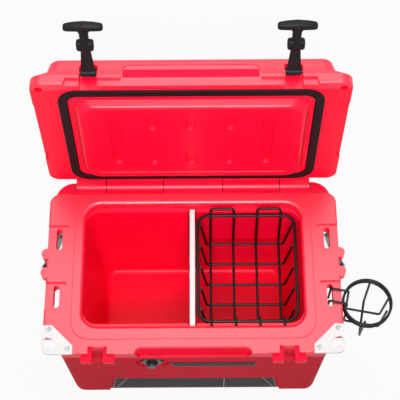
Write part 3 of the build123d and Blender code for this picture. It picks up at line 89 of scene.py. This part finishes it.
# %% [markdown]
# The pink sheen on every upward face is a large soft light overhead and behind, mirrored in the polished
# plastic. A second soft light stands high in front, behind a grid that narrows its beam, so that it fills
# the lid and the tub and leaves the front wall in shade. Area lamps are used, because their size sets how
# soft a shadow and a reflection are.

# %% Lights
def soft_light(name, place, target, width, depth, power, spread=180):
    lamp = bpy.data.lights.new(name, "AREA")
    lamp.shape = "RECTANGLE"
    lamp.size = width
    lamp.size_y = depth
    lamp.energy = power
    lamp.spread = radians(spread)
    holder = put_in_scene(name, lamp)
    holder.location = place
    holder.rotation_euler = (Vector(target) - Vector(place)).to_track_quat("-Z", "Y").to_euler()
    print(name, power, "W")


soft_light(
    "overhead_softbox", place=(0, 0.7, 2.3), target=(0, 0.05, 0.25), width=1.5, depth=1.8, power=27.5
)
soft_light(
    "front_grid_light", place=(0, -0.95, 1.75), target=(0, 0.2, 0.4), width=0.6, depth=0.4, power=3.1,
    spread=50,
)

# %% [markdown]
# Most materials below need small sums of masks and values. In the node editor each sum is a node and two
# wires. In a script it is shorter to have one helper for each kind of node, which takes a number or another
# node's output for each input and gives back its own output.

# %% Node helpers
def wire_value(tree, socket, value):
    """Link a socket to another, or set it to a number."""
    if isinstance(value, bpy.types.NodeSocket):
        tree.links.new(value, socket)
    else:
        socket.default_value = value


def math_node(tree, operation, *values):
    node = tree.nodes.new("ShaderNodeMath")
    node.operation = operation
    for socket, value in zip(node.inputs, values):
        wire_value(tree, socket, value)
    return node.outputs[0]


def combine(tree, operation, first, *others):
    """One math node after another: MULTIPLY gives what all masks share, MAXIMUM what any of them covers."""
    for other in others:
        first = math_node(tree, operation, first, other)
    return first


def ramp_node(tree, value, start, end, low=0, high=1):
    node = tree.nodes.new("ShaderNodeMapRange")
    for label, number in zip(("From Min", "From Max", "To Min", "To Max"), (start, end, low, high)):
        node.inputs[label].default_value = number
    tree.links.new(value, node.inputs["Value"])
    return node.outputs[0]


# %% [markdown]
# The world is white to the camera, to reflections and through clear plastic, and a mild grey to everything
# else. A white world alone would also light the object from all sides and flatten it. The Light Path node
# tells the two uses apart.

# %% World
FILL_LIGHT = 0.3


def seen_rays(tree):
    """A socket that is one for rays of the camera, of reflections and through clear plastic, else zero."""
    paths = tree.nodes.new("ShaderNodeLightPath").outputs
    kinds = ("Is Camera Ray", "Is Glossy Ray", "Is Transmission Ray")
    return combine(tree, "MAXIMUM", *(paths[kind] for kind in kinds))


world = bpy.data.worlds.new("studio")
bpy.context.scene.world = world
world.use_nodes = True
background = world.node_tree.nodes["Background"]
background.inputs["Color"].default_value = (1, 1, 1, 1)
strength = ramp_node(world.node_tree, seen_rays(world.node_tree), 0, 1, FILL_LIGHT, 1)
world.node_tree.links.new(strength, background.inputs["Strength"])
print("world fill", FILL_LIGHT)

# %% [markdown]
# The floor is a pale sheet that keeps the cooler's shadow. A very bright floor would be white too, but it
# would throw light up at the object. So most of what the camera sees of this one is a plain white glow, and
# the rest is a matt grey, which takes the shadow.

# %% Floor
FLOOR_HALF = 6
FLOOR_GREY = (0.5, 0.5, 0.5, 1)
FLOOR_ROUGHNESS = 0.9
WHITE_SHARE = 0.93


def pale_floor():
    paint = bpy.data.materials.new("pale_floor")
    paint.use_nodes = True
    tree = paint.node_tree
    matt = tree.nodes["Principled BSDF"]
    matt.inputs["Base Color"].default_value = FLOOR_GREY
    matt.inputs["Roughness"].default_value = FLOOR_ROUGHNESS
    glow = tree.nodes.new("ShaderNodeEmission")
    blend = tree.nodes.new("ShaderNodeMixShader")
    wire_value(tree, blend.inputs["Fac"], math_node(tree, "MULTIPLY", seen_rays(tree), WHITE_SHARE))
    tree.links.new(matt.outputs[0], blend.inputs[1])
    tree.links.new(glow.outputs[0], blend.inputs[2])
    tree.links.new(blend.outputs[0], tree.nodes["Material Output"].inputs["Surface"])
    return paint


def floor_sheet():
    mesh = bpy.data.meshes.new("floor")
    shape = bmesh.new()
    bmesh.ops.create_grid(shape, x_segments=1, y_segments=1, size=FLOOR_HALF)
    shape.to_mesh(mesh)
    shape.free()
    mesh.materials.append(pale_floor())
    return put_in_scene("floor", mesh)


floor_sheet()
print("floor", 2 * FLOOR_HALF, "m wide")

# %% [markdown]
# Every moulded or coated surface here shares two effects: a slow drift of shade, because no plastic is
# one even colour, and a fine orange peel that breaks up reflections. Each material could have its own noise
# nodes. As one node group they are built once, and each material gives the group a colour and a scale.

# %% Moulded skin group
DRIFT_SCALE, DRIFT_DETAIL = 14, 4
PEEL_DETAIL = 2
NOISE_MIDDLE = 0.5


def new_group(name, inputs, outputs):
    group = bpy.data.node_groups.new(name, "ShaderNodeTree")
    for label, kind, value in inputs:
        socket = group.interface.new_socket(label, in_out="INPUT", socket_type=kind)
        socket.default_value = value
    for label, kind in outputs:
        group.interface.new_socket(label, in_out="OUTPUT", socket_type=kind)
    return group


def noise_node(tree, place, scale, detail):
    node = tree.nodes.new("ShaderNodeTexNoise")
    tree.links.new(place, node.inputs["Vector"])
    wire_value(tree, node.inputs["Scale"], scale)
    node.inputs["Detail"].default_value = detail
    return node.outputs["Fac"]


def moulded_skin_group():
    group = new_group(
        "moulded skin",
        (
            ("Colour", "NodeSocketColor", (0.8, 0.8, 0.8, 1)),
            ("Shade drift", "NodeSocketFloat", 0.06),
            ("Roughness", "NodeSocketFloat", 0.3),
            ("Roughness drift", "NodeSocketFloat", 0.08),
            ("Peel scale", "NodeSocketFloat", 900),
        ),
        (("Colour", "NodeSocketColor"), ("Roughness", "NodeSocketFloat"), ("Height", "NodeSocketFloat")),
    )
    given = group.nodes.new("NodeGroupInput").outputs
    made = group.nodes.new("NodeGroupOutput").inputs
    place = group.nodes.new("ShaderNodeTexCoord").outputs["Object"]
    drift = math_node(group, "SUBTRACT", noise_node(group, place, DRIFT_SCALE, DRIFT_DETAIL), NOISE_MIDDLE)
    tone = group.nodes.new("ShaderNodeHueSaturation")
    group.links.new(given["Colour"], tone.inputs["Color"])
    group.links.new(math_node(group, "MULTIPLY_ADD", drift, given["Shade drift"], 1), tone.inputs["Value"])
    roughness = math_node(group, "MULTIPLY_ADD", drift, given["Roughness drift"], given["Roughness"])
    group.links.new(tone.outputs["Color"], made["Colour"])
    group.links.new(roughness, made["Roughness"])
    group.links.new(noise_node(group, place, given["Peel scale"], PEEL_DETAIL), made["Height"])
    return group


MOULDED_SKIN = moulded_skin_group()
print("group", MOULDED_SKIN.name, "has", len(MOULDED_SKIN.nodes), "nodes")

# %% [markdown]
# A material on that group wires it to a Principled shader. The peel goes through a Bump node, since real
# dents this fine would need millions of faces. A Bevel node can soften the shading of hard edges, which
# spares the CAD mesh, because that mesh is left as it is. Values that are even all over a piece are set on
# the shader's own sockets.

# %% Material on the skin
BEVEL_SAMPLES = 6


def skinned_material(
    name, colour, roughness, peel_scale, peel_depth, shade_drift=0.06, rounding=0, **principled
):
    paint = bpy.data.materials.new(name)
    paint.use_nodes = True
    tree = paint.node_tree
    shader = tree.nodes["Principled BSDF"]
    skin = tree.nodes.new("ShaderNodeGroup")
    skin.node_tree = MOULDED_SKIN
    skin.inputs["Colour"].default_value = (*colour, 1)
    skin.inputs["Roughness"].default_value = roughness
    skin.inputs["Shade drift"].default_value = shade_drift
    skin.inputs["Peel scale"].default_value = peel_scale
    tree.links.new(skin.outputs["Colour"], shader.inputs["Base Color"])
    tree.links.new(skin.outputs["Roughness"], shader.inputs["Roughness"])
    bump = tree.nodes.new("ShaderNodeBump")
    bump.inputs["Strength"].default_value = 1
    bump.inputs["Distance"].default_value = peel_depth
    tree.links.new(skin.outputs["Height"], bump.inputs["Height"])
    tree.links.new(bump.outputs["Normal"], shader.inputs["Normal"])
    if rounding:
        soft_edge = tree.nodes.new("ShaderNodeBevel")
        soft_edge.samples = BEVEL_SAMPLES
        soft_edge.inputs["Radius"].default_value = rounding
        tree.links.new(soft_edge.outputs["Normal"], bump.inputs["Normal"])
    for socket, value in principled.items():
        shader.inputs[socket.replace("_", " ")].default_value = value
    return paint


def dress(paint, *names):
    for name in names:
        materials = nodes[name].data.materials
        materials.clear()
        materials.append(paint)
    print(paint.name, "on", ", ".join(names))


# %% [markdown]
# The shell is one red moulding, but its polish changes from place to place. The mesh could be split into a
# material for each zone. Masks from Object coordinates keep it whole, and their edges can be soft. Each
# limit below is a pair: the place where a mask is still zero, and the place where it is one.

# %% Finish zones of the shell
FRONT_WALL, BACK_WALL, SIDE_WALL = (-0.12, -0.126), (0.122, 0.128), (0.205, 0.21)
BELOW_RIM = (0.248, 0.246)
RIM_BOTTOM, RIM_TOP, RIM_BACK = (0.262, 0.265), (0.286, 0.284), (0.139, 0.137)
LID_FRONT = (0.546, 0.55)
LUG_FRONT, LUG_TOP = (-0.137, -0.139), (0.2655, 0.2645)
SCOOP_NEAR, SCOOP_FAR, SCOOP_SIDE = (0.189, 0.191), (0.205, 0.203), (0.105, 0.103)


def finish_zones_group():
    """Masks of the outer walls, of the inside of the tub, of the rim and lid front, and of the dull edges."""
    masks = ("Wall", "Tub", "Rim", "Edge")
    group = new_group("finish zones", (), [(mask, "NodeSocketFloat") for mask in masks])
    axes = group.nodes.new("ShaderNodeSeparateXYZ")
    group.links.new(group.nodes.new("ShaderNodeTexCoord").outputs["Object"], axes.inputs[0])
    x, y, z = axes.outputs
    sideways = math_node(group, "ABSOLUTE", x)

    def zone(operation, *limits):
        return combine(group, operation, *(ramp_node(group, value, *limit) for value, limit in limits))

    below = ramp_node(group, z, *BELOW_RIM)
    wall = combine(
        group, "MULTIPLY", zone("MAXIMUM", (y, FRONT_WALL), (y, BACK_WALL), (sideways, SIDE_WALL)), below
    )
    tub = math_node(group, "SUBTRACT", below, wall)
    rim_top = zone("MULTIPLY", (z, RIM_BOTTOM), (z, RIM_TOP), (y, RIM_BACK))
    rim = combine(group, "MAXIMUM", rim_top, ramp_node(group, z, *LID_FRONT))
    lugs = zone("MULTIPLY", (y, LUG_FRONT), (z, LUG_TOP))
    scoop = zone("MULTIPLY", (y, SCOOP_NEAR), (y, SCOOP_FAR), (sideways, SCOOP_SIDE), (z, LID_FRONT))
    edge = combine(group, "MAXIMUM", lugs, scoop)
    made = group.nodes.new("NodeGroupOutput").inputs
    for mask, value in zip(masks, (wall, tub, rim, edge)):
        group.links.new(value, made[mask])
    return group


FINISH_ZONES = finish_zones_group()
print("group", FINISH_ZONES.name, "has", len(FINISH_ZONES.nodes), "nodes")

# %% [markdown]
# The plastic itself is dull, and its polished skin is a coat over it, because the weight of a coat may
# change over a surface. The top of the rim and the front of the lid have the most sheen. The inside of
# the tub, the two finger scoops and the lugs are duller. The outer walls, below the rim, are textured, so
# they have no polished skin. A dark brownish mix over them is painted shade that darkens all the outer
# walls, and upright streaks of dust add to it.

# %% Red plastic
RED = (0.92, 0.002, 0.033)
RED_SPECULAR = 0.03
RED_ROUGHNESS, RIM_ROUGHNESS, WALL_ROUGHNESS = 0.24, 0.45, 0.6
COAT_ROUGHNESS, COAT_IOR = 0.36, 1.8
RED_COAT, RIM_COAT, EDGE_COAT = 0.3, 0.85, 0.04
TUB_COAT, WALL_COAT = 0.1, 0.0
# The dark mix of the outer walls: its least share is painted shade over all of them, and its upright streaks
# are dust.
WALL_DUST_AND_SHADE = (0.1, 0.075, 0.07, 1)
LEAST_DUST_AND_SHADE, MOST_DUST_AND_SHADE = 0.22, 0.36
STREAK_SCALE, STREAK_DETAIL = (110, 110, 12), 5
STREAK_FROM, STREAK_TO = 0.3, 0.75


def mix_node(tree, share, first, second):
    node = tree.nodes.new("ShaderNodeMix")
    for label, value in (("Factor", share), ("A", first), ("B", second)):
        wire_value(tree, node.inputs[label], value)
    return node.outputs["Result"]


# How much of the dark mix the outer walls get: a floor of painted shade, with upright streaks of dust on top.
def dust_and_shade_amount(tree):
    stretch = tree.nodes.new("ShaderNodeMapping")
    stretch.inputs["Scale"].default_value = STREAK_SCALE
    place = tree.nodes.new("ShaderNodeTexCoord").outputs["Object"]
    tree.links.new(place, stretch.inputs["Vector"])
    streaks = noise_node(tree, stretch.outputs["Vector"], 1, STREAK_DETAIL)
    return ramp_node(tree, streaks, STREAK_FROM, STREAK_TO, LEAST_DUST_AND_SHADE, MOST_DUST_AND_SHADE)


def zoned_red():
    paint = skinned_material(
        "red_plastic", RED, RED_ROUGHNESS, peel_scale=420, peel_depth=0.00004, shade_drift=0.04,
        rounding=0.0015, Specular_IOR_Level=RED_SPECULAR, Coat_Roughness=COAT_ROUGHNESS, Coat_IOR=COAT_IOR,
    )
    tree = paint.node_tree
    shader = tree.nodes["Principled BSDF"]
    zones = tree.nodes.new("ShaderNodeGroup")
    zones.node_tree = FINISH_ZONES
    wall, tub, rim, edge = zones.outputs
    clean = shader.inputs["Base Color"].links[0].from_socket
    smooth = shader.inputs["Roughness"].links[0].from_socket
    coat = mix_node(tree, edge, mix_node(tree, rim, RED_COAT, RIM_COAT), EDGE_COAT)
    coat = mix_node(tree, tub, coat, TUB_COAT)
    coat = mix_node(tree, wall, coat, WALL_COAT)
    roughness = mix_node(tree, wall, mix_node(tree, rim, smooth, RIM_ROUGHNESS), WALL_ROUGHNESS)
    tree.links.new(coat, shader.inputs["Coat Weight"])
    tree.links.new(roughness, shader.inputs["Roughness"])
    # Painted shade and dust streaks, only on the outer walls.
    dusted_and_shaded = tree.nodes.new("ShaderNodeMixRGB")
    dusted_and_shaded.inputs["Color2"].default_value = WALL_DUST_AND_SHADE
    tree.links.new(math_node(tree, "MULTIPLY", dust_and_shade_amount(tree), wall), dusted_and_shaded.inputs["Fac"])
    tree.links.new(clean, dusted_and_shaded.inputs["Color1"])
    tree.links.new(dusted_and_shaded.outputs[0], shader.inputs["Base Color"])
    return paint


dress(zoned_red(), "body_shell", "lid_shell", "lid_fill_plug")

# %% [markdown]
# Rubber, wire coating, plates and steel each take the same group with their own values, so they are a table
# and a loop. Rubber and the strips are dull, so their specular level is low. Bare steel is metallic, and the
# hinge rod and the latch pins are a darker steel.

# %% Other finishes
FINISHES = {
    "black_rubber": dict(
        colour=(0.008, 0.008, 0.0095), roughness=0.42, peel_scale=1500, peel_depth=0.00005, shade_drift=0.3,
        Specular_IOR_Level=0.13,
    ),
    # The seal's faint red tint is a painted reflection of the red moulding around it.
    "seal_rubber": dict(
        colour=(0.008, 0.004, 0.005), roughness=0.5, peel_scale=1200, peel_depth=0.00004, shade_drift=0.3,
        Specular_IOR_Level=0.12,
    ),
    "black_plastic": dict(
        colour=(0.015, 0.015, 0.016), roughness=0.35, peel_scale=1100, peel_depth=0.00004, shade_drift=0.2
    ),
    "black_wire": dict(
        colour=(0.004, 0.004, 0.0045), roughness=0.3, peel_scale=1600, peel_depth=0.00005, shade_drift=0.2,
        Specular_IOR_Level=0.22,
    ),
    "white_plastic": dict(
        colour=(0.66, 0.645, 0.64), roughness=0.45, peel_scale=700, peel_depth=0.00005, shade_drift=0.03,
        Specular_IOR_Level=0.25,
    ),
    "white_plate": dict(
        colour=(0.66, 0.66, 0.66), roughness=0.45, peel_scale=900, peel_depth=0.00003, shade_drift=0.03,
        rounding=0.0006, Specular_IOR_Level=0.2,
    ),
    "foam": dict(colour=(0.8, 0.74, 0.5), roughness=0.9, peel_scale=500, peel_depth=0.0003),
    "steel": dict(
        colour=(0.55, 0.55, 0.56), roughness=0.28, peel_scale=1800, peel_depth=0.00001, Metallic=1.0
    ),
    "screw_steel": dict(
        colour=(0.34, 0.34, 0.35), roughness=0.42, peel_scale=1800, peel_depth=0.00001, Metallic=1.0
    ),
    # The rod steel is much darker than bare steel: this is painted shade, so that the rod in the gaps between
    # the hinge knuckles reads as the dark lines of shade there.
    "rod_steel": dict(
        colour=(0.06, 0.06, 0.065), roughness=0.4, peel_scale=1800, peel_depth=0.00001, Metallic=1.0
    ),
    "dark_strip": dict(
        colour=(0.014, 0.014, 0.017), roughness=0.5, peel_scale=1200, peel_depth=0.00002, shade_drift=0.15,
        Specular_IOR_Level=0.06,
    ),
    "pale_line": dict(
        colour=(0.42, 0.42, 0.44), roughness=0.4, peel_scale=1200, peel_depth=0.00002, shade_drift=0.05,
        Specular_IOR_Level=0.2,
    ),
}
finishes = {name: skinned_material(name, **values) for name, values in FINISHES.items()}

dress(finishes["black_rubber"], "rubber_feet", "body_fill_plug", "vent_seal")
dress(finishes["seal_rubber"], "lid_seal")
dress(finishes["black_plastic"], "bail_arm_left", "bail_arm_right", "vent_button")
dress(finishes["black_wire"], "basket_rim", "basket_long_wires", "basket_cross_wires")
dress(finishes["black_wire"], "cup_holder_rings", "cup_holder_frames", "cup_holder_cradle")
dress(finishes["white_plastic"], "divider_board")
dress(finishes["white_plate"], "corner_plate_left", "corner_plate_right")
dress(finishes["foam"], "body_foam", "lid_foam")
dress(finishes["steel"], "bail_pivot_bolts", "bail_washers", "vent_spring", "bail_crossbar")
dress(finishes["rod_steel"], "hinge_rod", "hinge_rod_caps", "latch_pins")

# %% [markdown]
# Pieces that need more detail than the CAD has are modelled here. One helper puts a finished bmesh in the
# scene: it rides on a CAD body and stands for the CAD nodes that it names. Its faces are smooth, with sharp
# edges only where the angle is wide, as on a moulding.

# %% Put a piece in the scene
SHARP_ANGLE = radians(38)


def add_piece(shape, name, body, slot_name, paints, *replaced):
    bmesh.ops.recalc_face_normals(shape, faces=shape.faces)
    mesh = bpy.data.meshes.new(name)
    shape.to_mesh(mesh)
    shape.free()
    for paint in paints:
        mesh.materials.append(finishes[paint])
    mesh.shade_smooth()
    mesh.set_sharp_from_angle(angle=SHARP_ANGLE)
    piece = put_in_scene(name, mesh)
    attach(piece, body)
    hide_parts(*replaced)
    print(name, "rides on", body, "with", len(mesh.polygons), "faces")
    return piece


# %% [markdown]
# Two more helpers make most of the shapes. Round pieces are a profile that is spun about an axis, as on a
# lathe. Bars of changing section are a rounded square that is extruded from station to station, and each
# new end is scaled to its own size. A second bmesh is joined to the first by way of a mesh.

# %% Lathe, bar and join
MERGE_DISTANCE = 1e-6
CORNER_SEGMENTS = 5


def lathe(shape, profile, axis, centre, steps):
    """Turn a profile of (along, radius) points into a round piece about an axis through a centre."""
    across = axis.orthogonal().normalized()
    points = [shape.verts.new(centre + axis * along + across * radius) for along, radius in profile]
    line = [shape.edges.new(pair) for pair in zip(points, points[1:])]
    bmesh.ops.spin(
        shape, geom=points + line, cent=centre, axis=axis, angle=2 * pi, steps=steps, use_merge=True
    )
    bmesh.ops.remove_doubles(shape, verts=shape.verts, dist=MERGE_DISTANCE)


def bar(stations, corner):
    """A closed bar along +Y through stations of (along, half width, half depth, shift across)."""
    def section(along, half_width, half_depth, shift=0):
        return Matrix.Translation((shift, along, 0)) @ Matrix.Diagonal((half_width, 1, half_depth, 1))

    shape = bmesh.new()
    upright = Matrix.Rotation(radians(90), 4, "X")
    bmesh.ops.create_grid(shape, x_segments=1, y_segments=1, size=1, matrix=upright)
    bmesh.ops.bevel(
        shape, geom=shape.verts[:], affect="VERTICES", offset=corner, segments=CORNER_SEGMENTS,
        profile=0.5, material=-1,
    )
    bmesh.ops.transform(shape, verts=shape.verts, matrix=section(*stations[0]))
    end = shape.faces[:]
    for before, after in zip(stations, stations[1:]):
        grown = bmesh.ops.extrude_face_region(shape, geom=end)["geom"]
        end = [item for item in grown if isinstance(item, bmesh.types.BMFace)]
        ring = [item for item in grown if isinstance(item, bmesh.types.BMVert)]
        step = section(*after) @ section(*before).inverted()
        bmesh.ops.transform(shape, verts=ring, matrix=step)
    return shape


def join(shape, other, place):
    """Add another bmesh to this one, turned and moved by a matrix."""
    bmesh.ops.transform(other, verts=other.verts, matrix=place)
    holder = bpy.data.meshes.new("joined")
    other.to_mesh(holder)
    other.free()
    shape.from_mesh(holder)
    bpy.data.meshes.remove(holder)


# %% [markdown]
# Each latch is one rubber moulding: a roller round the pin, a strap that narrows upwards, a barrel collar
# that snaps behind two lugs, a stem that flares, and a T bar with an arched top. Booleans would leave hard
# seams between the bars. They are joined by a voxel remesh instead, and then softened, as a moulding is.
# The bars are drawn in millimetres in the latch's own frame, with +Y along the strap and +Z to the viewer.

# %% Rubber latches
MM = 0.001
LATCH_PIVOT = Vector((0.155, 0.19986, 0.55856))
LATCH_ALONG = Vector((0, 0.1822, 0.9833))
LATCH_OUT = Vector((0, -0.9833, 0.1822))
COLLAR_ALONG = 58.5
TEE_ALONG = 97
STRAP_STATIONS = (
    (2, 10.6, 4), (14, 10.2, 4), (30, 8.7, 4), (47, 7.4, 4), (53, 7.2, 5.6), (65, 6.9, 6), (71, 6.8, 4.4),
    (84, 6.9, 4.2), (88, 8.4, 4.6), (91, 11, 4.8), (94, 15, 4.6), (96, 19, 4),
)
TEE_STATIONS = (
    (-29, 3.4, 3.4, -1.8), (-28, 4.8, 4.8, -1.7), (-25, 5.8, 5.8, -1.4), (-15, 6.7, 6.7, -0.6),
    (0, 7.3, 7.3, 0),
    (15, 6.7, 6.7, -0.6), (25, 5.8, 5.8, -1.4), (28, 4.8, 4.8, -1.7), (29, 3.4, 3.4, -1.8),
)
COLLAR_STATIONS = (
    (-13, 6.6, 4.6), (-12, 8.6, 6.2), (-9.5, 9.6, 6.9), (0, 9.2, 6.4),
    (9.5, 9.6, 6.9), (12, 8.6, 6.2), (13, 6.6, 4.6),
)
ROLLER_STATIONS = ((-11.5, 6.1, 6.1), (-10.8, 6.9, 6.9), (10.8, 6.9, 6.9), (11.5, 6.1, 6.1))
STRAP_CORNER, TEE_CORNER, COLLAR_CORNER, ROLLER_CORNER = 0.5, 0.8, 0.7, 1
VOXEL = 0.0009
SMOOTHING, SMOOTHING_PASSES = 0.5, 5


def rubber_latch(name, body, node, side):
    crosswise = Matrix.Rotation(radians(90), 4, "Z")
    shape = bar(STRAP_STATIONS, STRAP_CORNER)
    join(shape, bar(TEE_STATIONS, TEE_CORNER), Matrix.Translation((0, TEE_ALONG, 0)) @ crosswise)
    join(shape, bar(COLLAR_STATIONS, COLLAR_CORNER), Matrix.Translation((0, COLLAR_ALONG, 0)) @ crosswise)
    join(shape, bar(ROLLER_STATIONS, ROLLER_CORNER), crosswise)
    turn = Matrix((Vector((1, 0, 0)), LATCH_ALONG, LATCH_OUT)).transposed().to_4x4()
    pivot = Vector((side * LATCH_PIVOT.x, LATCH_PIVOT.y, LATCH_PIVOT.z))
    placed = Matrix.Translation(pivot) @ turn @ Matrix.Scale(MM, 4)
    bmesh.ops.transform(shape, verts=shape.verts, matrix=placed)
    piece = add_piece(shape, name, body, "black_rubber", ["black_rubber"], node)
    fused = piece.modifiers.new("fused moulding", "REMESH")
    fused.mode = "VOXEL"
    fused.voxel_size = VOXEL
    fused.use_smooth_shade = True
    softened = piece.modifiers.new("softened", "SMOOTH")
    softened.factor = SMOOTHING
    softened.iterations = SMOOTHING_PASSES


rubber_latch("rubber_latch_left", "left_latch", "latch_left", -1)
rubber_latch("rubber_latch_right", "right_latch", "latch_right", 1)

# %% [markdown]
# The two strips on the front wall are plain dark sheets with a thin pale border. Each starts from its CAD
# sheet, merged back into flat faces, and the front face is inset twice, so that the border follows any
# outline. The lower strip also carries slanted lines, which are cut with planes, so they are geometry too.

# %% Front strips
BORDER_INSET = 0.0012
BORDER_WIDTH = 0.0009
FLAT_ANGLE = radians(1)
LABEL_LINES = ((-0.128, -0.33), (0.052, 0), (0.128, 0.33))
LINE_WIDTH = 0.0012
PALE_INDEX = 1


def front_face(shape):
    return max(shape.faces, key=lambda face: -face.normal.y * face.calc_area())


def merged_copy(node):
    shape = bmesh.new()
    shape.from_mesh(nodes[node].data)
    bmesh.ops.remove_doubles(shape, verts=shape.verts, dist=MERGE_DISTANCE)
    return shape


def dark_sheet(node, lines):
    """A sheet with its border and its lines, each at a place along X and with a slant."""
    shape = merged_copy(node)
    bmesh.ops.dissolve_limit(shape, angle_limit=FLAT_ANGLE, verts=shape.verts, edges=shape.edges)
    bmesh.ops.inset_region(shape, faces=[front_face(shape)], thickness=BORDER_INSET)
    border = bmesh.ops.inset_region(shape, faces=[front_face(shape)], thickness=BORDER_WIDTH)["faces"]
    for face in border:
        face.material_index = PALE_INDEX
    middle = [front_face(shape)]
    height = middle[0].calc_center_median().z
    for x, slant in lines:
        across = Vector((1, 0, slant)).normalized()
        start = Vector((x, 0, height))
        for side in (start, start + across * LINE_WIDTH):
            around = dict.fromkeys(part for face in middle for part in (*face.edges, *face.verts))
            geom = [*middle, *around]
            cut = bmesh.ops.bisect_plane(shape, geom=geom, plane_co=side, plane_no=across)["geom"]
            middle = [part for part in cut if isinstance(part, bmesh.types.BMFace)]
        for face in middle:
            if 0 < (face.calc_center_median() - start).dot(across) < LINE_WIDTH:
                face.material_index = PALE_INDEX
    return shape


STRIP_PAINTS = ("dark_strip", "pale_line")
add_piece(dark_sheet("nameplate", ()), "blank_nameplate", "body", "name_strip", STRIP_PAINTS, "nameplate")
add_piece(
    dark_sheet("lower_label", LABEL_LINES), "blank_label", "body", "label_strip", STRIP_PAINTS, "lower_label"
)

# %% [markdown]
# The vent is a lobed black knob in the round recess. Its lobes could be cut out one by one. It is quicker to
# turn a plain knob from a profile and then push the rim's points in and out in a wave round the axis. The
# button in its middle is the CAD one, and the seat is deep enough for it to be pressed.

# %% Vent knob
VENT_LOBES = 8
LOBE_DEPTH, LOBE_BAND = 0.0014, 0.003
KNOB_SPREAD = 0.003
STEM_RADIUS = 0.006
BORE_RADIUS = 0.0042
FLANGE_LENGTH = 0.005
SHOULDER = ((0.0025, LOBE_DEPTH), (0.001, 0.0022), (0, 0.004))
DISH_DEPTH, DISH_RADIUS = 0.0003, 0.0105
SEAT_DEPTH, SEAT_RADIUS = 0.0042, 0.0095
KNOB_STEPS = 96


def vent_knob():
    low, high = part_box("vent_body")
    centre = Vector(((low.x + high.x) / 2, low.y, (low.z + high.z) / 2))
    reach = (high.x - low.x) / 2 + KNOB_SPREAD
    length = high.y - low.y
    profile = (
        (length, BORE_RADIUS), (length, STEM_RADIUS), (FLANGE_LENGTH, STEM_RADIUS),
        (FLANGE_LENGTH, reach - LOBE_DEPTH),
        *((along, reach - inset) for along, inset in SHOULDER),
        (DISH_DEPTH, DISH_RADIUS), (SEAT_DEPTH, SEAT_RADIUS), (SEAT_DEPTH, BORE_RADIUS),
        (length, BORE_RADIUS),
    )
    shape = bmesh.new()
    lathe(shape, profile, Vector((0, 1, 0)), centre, KNOB_STEPS)
    for point in shape.verts:
        arm = Vector((point.co.x - centre.x, 0, point.co.z - centre.z))
        if arm.length > reach - LOBE_BAND:
            turn = Vector((arm.x, arm.z)).angle_signed(Vector((1, 0)))
            point.co += arm.normalized() * LOBE_DEPTH * cos(VENT_LOBES * turn)
    add_piece(shape, "vent_knob", "body", "black_plastic", ["black_plastic"], "vent_body")


vent_knob()

# %% [markdown]
# The bail's grip is a rubber sleeve with turned ribs. Ribs in a bump map would vanish from its outline, so
# they are in the profile of a lathe piece, at the middle of the grip's CAD box, round the CAD crossbar.

# %% Ribbed grip
GRIP_RIBS = 22
RIB_DEPTH = 0.0008
RIB_POINTS = ((0.1, 0), (0.55, 0), (0.7, RIB_DEPTH), (0.95, RIB_DEPTH))
END_ROUND = 0.003
GRIP_STEPS = 48


def ribbed_grip():
    low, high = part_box("bail_grip")
    centre = (low + high) / 2
    half = (high.x - low.x) / 2
    radius = (high.y - low.y) / 2
    core_low, core_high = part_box("bail_crossbar")
    bore = (core_high.y - core_low.y) / 2
    pitch = (2 * half - 4 * END_ROUND) / GRIP_RIBS
    start = -half + 2 * END_ROUND
    profile = [(-half, bore), (-half, radius - END_ROUND), (-half + END_ROUND, radius)]
    for rib in range(GRIP_RIBS):
        profile += [(start + (rib + share) * pitch, radius - drop) for share, drop in RIB_POINTS]
    profile += [(half - END_ROUND, radius), (half, radius - END_ROUND), (half, bore), (-half, bore)]
    shape = bmesh.new()
    lathe(shape, profile, Vector((1, 0, 0)), centre, GRIP_STEPS)
    add_piece(shape, "ribbed_grip", "bail", "black_rubber", ["black_rubber"], "bail_grip")


ribbed_grip()

# %% [markdown]
# The plate screws have countersunk heads with a round socket. They are four copies of one lathe profile.
# Their places are read from the CAD node, by gathering the highest points of its screws, so that they follow
# the CAD if it changes.

# %% Plate screws
SCREW_HEAD = (
    (-0.0016, 0), (-0.0016, 0.0021), (-0.0002, 0.0024), (0, 0.0027), (0, 0.0044), (-0.0004, 0.0048),
)
NECK_DEPTH, SHANK_RADIUS, TIP_LENGTH = 0.0028, 0.002, 0.001
HEAD_REACH = 0.012
TOP_TOLERANCE = 1e-5
SCREW_STEPS = 32


def screw_seats(top):
    """The middle of each screw's head, from the highest points of the CAD screws."""
    parts = merged_copy("corner_plate_screws")
    tips = [point.co.copy() for point in parts.verts if point.co.z > top - TOP_TOLERANCE]
    parts.free()
    heads = []
    for tip in tips:
        near = [head for head in heads if (head[0] - tip).length < HEAD_REACH]
        if near:
            near[0].append(tip)
        else:
            heads.append([tip])
    for head in heads:
        x, y = ((min(tip[axis] for tip in head) + max(tip[axis] for tip in head)) / 2 for axis in (0, 1))
        yield Vector((x, y, top))


def plate_screws():
    low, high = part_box("corner_plate_screws")
    length = high.z - low.z
    shank = ((-NECK_DEPTH, SHANK_RADIUS), (TIP_LENGTH - length, SHANK_RADIUS), (-length, 0))
    shape = bmesh.new()
    for seat in screw_seats(high.z):
        lathe(shape, SCREW_HEAD + shank, Vector((0, 0, 1)), seat, SCREW_STEPS)
    add_piece(shape, "plate_screws", "body", "steel", ["screw_steel"], "corner_plate_screws")


plate_screws()
